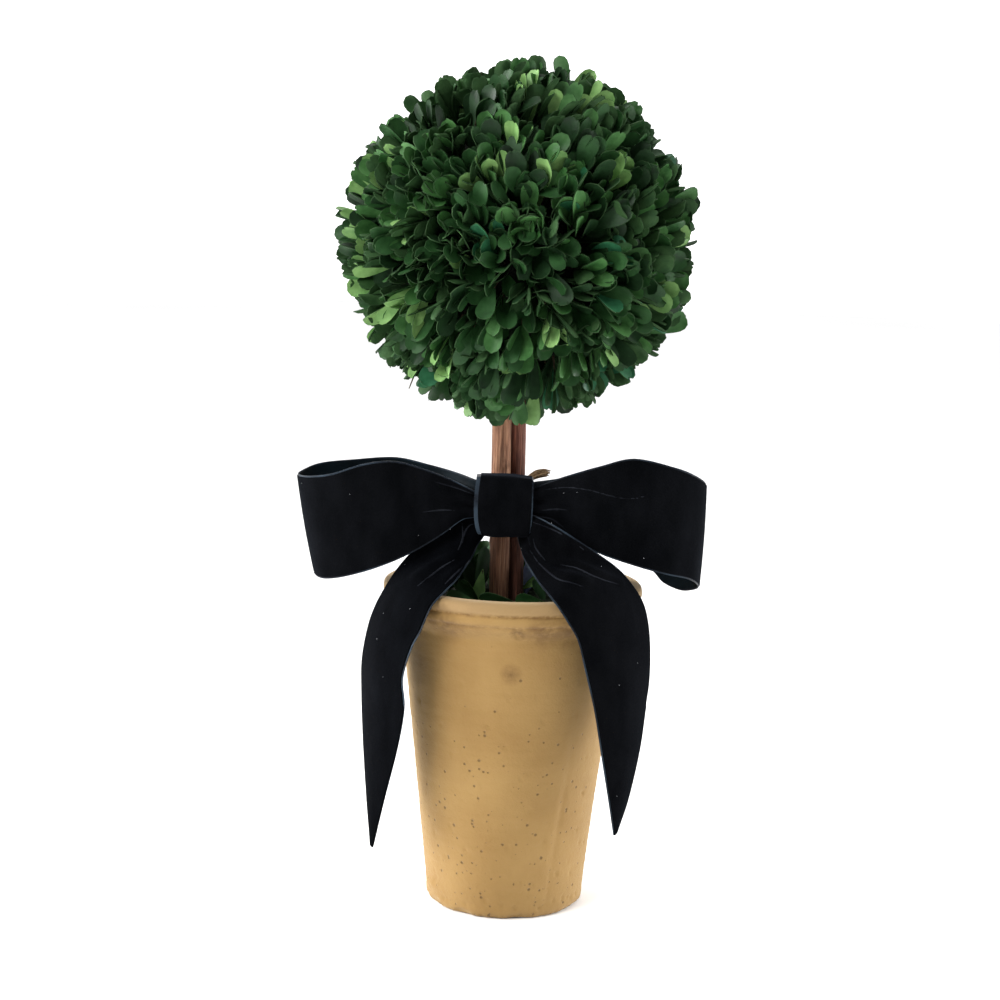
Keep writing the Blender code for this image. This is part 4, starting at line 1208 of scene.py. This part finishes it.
def ribbon(
    name, first, second, relief, creases=(), front_share=1.0, cut_second=None, pile=None,
    selvedges=(SELVEDGE_WIDTH, SELVEDGE_WIDTH),
):
    """A velvet ribbon between two edges: pile outside, satin back, and a woven band along each edge.

    Each edge is an array of points. From the cut row on, the second edge is cut and has no woven band.
    Returns the piece, the points of its front and their normals."""
    rows = len(first)
    width = np.linalg.norm(second - first, axis=1)
    bands = []
    for selvedge, cut in zip(selvedges, (None, cut_second)):
        band = np.full(rows, selvedge)
        if cut is not None:
            band[cut:] = 0.00006
        bands.append(np.minimum(band / width, 0.12))
    step = np.minimum(PILE_STEP / width, 0.04)
    inner = np.linspace(0, 1, RIBBON_COLUMNS)
    low = (bands[0] + step)[:, None]
    high = (1 - bands[1] - step)[:, None]
    share = np.hstack([
        np.zeros((rows, 1)), bands[0][:, None],
        low + (high - low) * inner,
        1 - bands[1][:, None], np.ones((rows, 1)),
    ])
    grid = first[:, None] * (1 - share[..., None]) + second[:, None] * share[..., None]
    run = np.linalg.norm(np.diff(grid.mean(1), axis=0), axis=1)
    along = np.repeat(np.concatenate([[0], np.cumsum(run)])[:, None], share.shape[1], 1)
    raised = relief(along, share, width[:, None]) + crease_relief(grid, creases, front_share)
    grid = grid + facing(grid) * raised[..., None]
    normal = facing(grid)
    rise = np.full(share.shape[1], PILE_HEIGHT)
    rise[:2] = rise[-2:] = BACK_DEPTH / 2
    front = grid + normal * rise[None, :, None]
    back = grid - normal * BACK_DEPTH
    columns = share.shape[1]
    points = np.concatenate([front, back]).reshape(-1, 3)
    front_faces = grid_faces(rows, columns)
    back_faces = front_faces[:, ::-1] + rows * columns
    column = np.arange(len(front_faces)) % (columns - 1)
    band = (column == 0) | (column == columns - 2)
    edges, caps = [], []
    under = rows * columns
    for r in range(rows - 1):
        a, b = r * columns, (r + 1) * columns
        edges.append((a + under, a, b, b + under))
        a, b = a + columns - 1, b + columns - 1
        edges.append((a, a + under, b + under, b))
    for c in range(columns - 1):
        caps.append((c, c + under, c + 1 + under, c + 1))
        a = (rows - 1) * columns + c
        caps.append((a, a + 1, a + 1 + under, a + under))
    faces = np.concatenate([front_faces, back_faces, np.array(edges), np.array(caps)])
    slots = np.concatenate([
        np.where(band, 2, 0),
        np.where(band, 2, 1),
        np.full(len(edges), 2),
        np.full(len(caps), 1),
    ])
    looks = [pile or VELVET, SATIN, SELVEDGE]
    return make_piece(name, points, faces[:, ::-1].tolist(), looks, slots, sharp=55), front, normal


def facing(grid):
    """The unit normals of a grid of points, on the side of (down the rows) x (across the columns)."""
    down = np.gradient(grid, axis=0)
    across = np.gradient(grid, axis=1)
    return unit(np.cross(down, across))


def ribbon_edges(stations, steps):
    first = smooth_through([np.array(s[0]) * MM for s in stations], steps)
    second = smooth_through([np.array(s[1]) * MM for s in stations], steps)
    return first, second


def loop_relief(gather):
    """Pleats that run out from the knot at both ends of a loop."""

    def relief(along, share, width):
        whole = along.max()
        near = np.minimum(along, whole - along)
        pleats = gather * np.exp(-((near / 0.019) ** 2)) * np.cos(math.tau * 2.5 * share)
        belly = 0.0005 * np.sin(math.pi * share) * np.clip(near / 0.04, 0, 1)
        return pleats + belly

    return relief


def tail_relief(gather, arch):
    def relief(along, share, width):
        pleats = gather * np.exp(-((along / 0.022) ** 2)) * np.cos(math.tau * 1.5 * share)
        return pleats + arch * width * np.sin(math.pi * share)

    return relief


def make_bow():
    """Two loops, two tails and the knot that holds them."""
    lint, creased = [], []
    for name, stations, creases, cut in (
        ("loop_left", LEFT_LOOP, LEFT_LOOP_CREASES, None),
        ("loop_right", RIGHT_LOOP, RIGHT_LOOP_CREASES, None),
        ("tail_left", LEFT_TAIL, LEFT_TAIL_CREASES, LEFT_TAIL_CUT * RIBBON_STEPS),
        ("tail_right", RIGHT_TAIL, RIGHT_TAIL_CREASES, RIGHT_TAIL_CUT * RIBBON_STEPS),
    ):
        first, second = ribbon_edges(stations, RIBBON_STEPS)
        relief, pile, front_share = loop_relief(0.0011), VELVET, LOOP_FRONT
        if cut:
            relief, pile, front_share = tail_relief(0.0007, 0.08), TAIL_VELVETS_PAINTED_SHADE[name], 1.0
        piece, front, normal = ribbon(
            "bow_" + name + "_ribbon", first, second, relief, creases, front_share, cut, pile
        )
        place(piece, "velvet", "bow_" + name)
        creased += crease_lines(front, creases, front_share)
        lint += lint_on(front, normal, len(lint))
    place(joined_tubes("bow_crease_highlights", creased, CREASE), "velvet")
    place(joined_tubes("bow_lint", lint, LINT), "velvet")
    make_knot()


def lint_on(front, normal, seed):
    """A few short fibres lying on a ribbon's pile."""
    rng = random.Random(seed + LINT_SEED)
    tubes = []
    for _ in range(LINT_COUNT):
        row = rng.randrange(4, len(front) - 4)
        column = rng.randrange(3, front.shape[1] - 3)
        middle = Vector(front[row, column]) + Vector(normal[row, column]) * 0.00004
        along = Vector(front[row + 1, column] - front[row, column]).normalized()
        across = along.cross(Vector(normal[row, column]))
        turn = rng.uniform(0, math.tau)
        reach = (along * math.cos(turn) + across * math.sin(turn)) * rng.uniform(0.00012, 0.00030)
        path = [middle - reach, middle + across * 0.00005, middle + reach]
        tubes.append((path, rng.uniform(0.00004, 0.00007), 4))
    return tubes


def make_knot():
    """The ribbon wrapped once over the bow's middle, its edges at the left and right."""
    low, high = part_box("bow_knot")
    middle = (low + high) / 2
    half = (high - low) / 2
    turns = np.linspace(-0.12, math.tau + 0.12, 97)
    square = 0.42

    def shaped(wave):
        return np.sign(wave) * abs(wave) ** square

    depth = half.y - 0.0007 + 0.00025 * (turns > math.pi)
    y = middle.y + depth * shaped(np.cos(turns))
    z = middle.z + (half.z - 0.0007) * shaped(np.sin(turns))
    level = (z - middle.z) / half.z
    z = z - 0.0010 * np.clip(-level, 0, 1)
    left = low.x + 0.0004 - 0.0010 * (1 - level**2) + 0.0012 * np.clip(-level, 0, 1) ** 3
    right = high.x - 0.0002 - 0.0008 * np.clip(-level, 0, 1) ** 2
    first = np.stack([left, y, z], 1)
    second = np.stack([right, y, z - 0.0007 * np.clip(level, 0, 1) ** 2], 1)

    def relief(along, share, width):
        waves = noise_field(along * 160, share * 2.2, 7.0)
        return 0.0005 * waves + 0.0006 * np.sin(math.pi * share) - 0.0006

    knot, _, _ = ribbon("bow_knot_ribbon", first, second, relief, selvedges=(0.0015, 0.0005))
    place(knot, "velvet", "bow_knot")


def noise_field(x, y, z):
    x, y = np.broadcast_arrays(x, y)
    field = np.zeros(x.shape)
    for index in np.ndindex(x.shape):
        field[index] = noise.noise(Vector((x[index], y[index], z)))
    return field


# The twine that ties the bow to the sticks

TWINE_PLY = 0.00042
TWINE_END = (Vector((0.0046, 0.0022, 0.1694)), Vector((0.0126, 0.0022, 0.1727)))
TWINE_SEED = 8


def round_the_sticks(turn, height, spare):
    """The point of an outline laid tight round both sticks, in a direction."""
    away = Vector((math.cos(turn), math.sin(turn)))
    sticks = [(stick_middle(s, height), stick_radius(s, height)) for s in (LEFT_STICK, RIGHT_STICK)]
    middle, radius = max(sticks, key=lambda held: held[0].dot(away) + held[1])
    flat = middle + away * (radius + spare)
    return (flat.x, flat.y, height)


def make_twine():
    """Four turns of two-ply jute round both sticks, with a frayed end standing up on the right."""
    rng = random.Random(TWINE_SEED)
    low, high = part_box("twine_tie")[0].z + 0.0008, 0.1672
    turns = 4
    route = np.array([
        round_the_sticks(math.tau * turns * k / 400, low + (high - low) * k / 400, 0.0012)
        for k in range(401)
    ])
    route = evenly(route, 0.0006)
    along = unit(np.gradient(route, axis=0))
    up = np.array([0, 0, 1.0])
    out = unit(np.cross(along, up))
    run = np.arange(len(route)) * 0.0006
    tubes = []
    for ply in range(2):
        phase = run / 0.0034 * math.tau + ply * math.pi
        twist = np.cos(phase)[:, None] * out + np.sin(phase)[:, None] * up
        tubes.append((route + twist * TWINE_PLY, TWINE_PLY * 1.05, 7))
    start, end = TWINE_END
    for _ in range(60):
        spread = Vector((rng.gauss(0, 1), rng.gauss(0, 1), rng.gauss(0, 1)))
        spread = spread / max(1.0, spread.length / 1.6)
        foot = start + spread * 0.00055
        reach = rng.uniform(0.80, 1.0)
        tip = start.lerp(end, reach) + spread * 0.0010
        bow = foot.lerp(tip, 0.5) + Vector((0.0002, 0, 0.0007)) + spread * 0.0002
        path = smooth_through([np.array(p) for p in (foot, bow, tip)], 4)
        tubes.append((path, np.linspace(0.00026, 0.00015, len(path)), 5))
    for _ in range(40):
        turn = rng.uniform(0, math.tau)
        height = rng.uniform(low, high)
        foot = Vector(round_the_sticks(turn, height, 0.0018))
        away = Vector((math.cos(turn), math.sin(turn), rng.uniform(-0.8, 0.8))).normalized()
        bent = Vector((rng.gauss(0, 1), rng.gauss(0, 1), rng.gauss(0, 1))) * 0.0006
        tip = foot + away * rng.uniform(0.0008, 0.0024)
        path = smooth_through([np.array(p) for p in (foot, foot.lerp(tip, 0.5) + bent, tip)], 3)
        if foot.y > -0.004:
            tubes.append((path, 0.00006, 4))
    place(joined_tubes("twine_strands", tubes, JUTE), "twine", "twine_tie")


# The studio

ROOM_SPAN = (-0.7, 0.5, 0.28, 1.70)  # from front to back, the strength of the light


def make_stage():
    """A flat pale floor that runs out to the horizon."""
    look = Look("studio_paper", 0.9, Specular_IOR_Level=0.1)
    tone = look.noise(0.6, detail=2)
    paper = look.finish(look.ramp(tone, (0.3, (0.90, 0.90, 0.90)), (0.7, (0.93, 0.93, 0.93))))
    turns = np.linspace(0, math.tau, 96, endpoint=False)
    points = [(r * math.cos(t), r * math.sin(t), 0) for r in (0.02, 0.4, 1.6, 5.0) for t in turns]
    faces = [list(f) for f in grid_faces(4, 96, close_columns=True)]
    faces.append(list(range(96)))
    floor = make_piece("studio_floor", points, faces, [paper])
    floor.location.z = -0.0001


def add_light(name, place_at, size, power, aim=(0, 0, 0.18)):
    light = bpy.data.lights.new(name, "AREA")
    light.shape = "DISK"
    light.size = size
    light.energy = power
    lamp = bpy.data.objects.new(name, light)
    lamp.location = place_at
    lamp.rotation_euler = (Vector(aim) - Vector(place_at)).to_track_quat("-Z", "Y").to_euler()
    bpy.context.scene.collection.objects.link(lamp)


def light_scene():
    """Soft light from both sides and above, in a white room that is darker towards the front."""
    add_light("key", (-0.90, -0.85, 1.0), 0.8, 18)
    add_light("left_rear", (-1.3, 0.12, 0.4), 0.8, 26)
    add_light("right_rear", (1.3, 0.15, 0.45), 0.8, 18)
    add_light("top", (0.0, 0.2, 1.7), 1.2, 5)
    world = bpy.data.worlds.new("studio")
    world.use_nodes = True
    nodes, links = world.node_tree.nodes, world.node_tree.links
    room = nodes["Background"]
    room.inputs["Color"].default_value = (1, 1, 1, 1)
    direction = nodes.new("ShaderNodeTexCoord")
    split = nodes.new("ShaderNodeSeparateXYZ")
    span = nodes.new("ShaderNodeMapRange")
    for socket, value in zip(("From Min", "From Max", "To Min", "To Max"), ROOM_SPAN):
        span.inputs[socket].default_value = value
    links.new(direction.outputs["Generated"], split.inputs[0])
    links.new(split.outputs["Y"], span.inputs["Value"])
    links.new(span.outputs["Result"], room.inputs["Strength"])
    bpy.context.scene.world = world


def place_camera():
    camera = bpy.data.cameras.new("camera")
    camera.lens = CAMERA_LENS
    camera.sensor_width = 36
    seen = bpy.data.objects.new("camera", camera)
    tilt = Matrix.Rotation(math.radians(90 - CAMERA_DOWN), 4, "X")
    roll = Matrix.Rotation(math.radians(CAMERA_ROLL), 4, "Z")
    seen.matrix_world = Matrix.Translation(CAMERA_PLACE) @ tilt @ roll
    bpy.context.scene.collection.objects.link(seen)
    bpy.context.scene.camera = seen


def finish_filler():
    """The foam keeps its own solid, with a crumbly finish."""
    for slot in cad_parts["pot_filler"].material_slots:
        slot.material = FOAM


place_camera()
make_stage()
light_scene()
make_pot()
finish_filler()
make_stick("stick_left", "trunk_left", LEFT_STICK, BARK_LEFT, 1.0)
make_stick("stick_right", "trunk_right", RIGHT_STICK, BARK_RIGHT, 2.6)
make_crown()
make_mouth()
make_bow()
make_twine()
bpy.context.scene.view_settings.view_transform = "Standard"

bpy.context.view_layer.update()
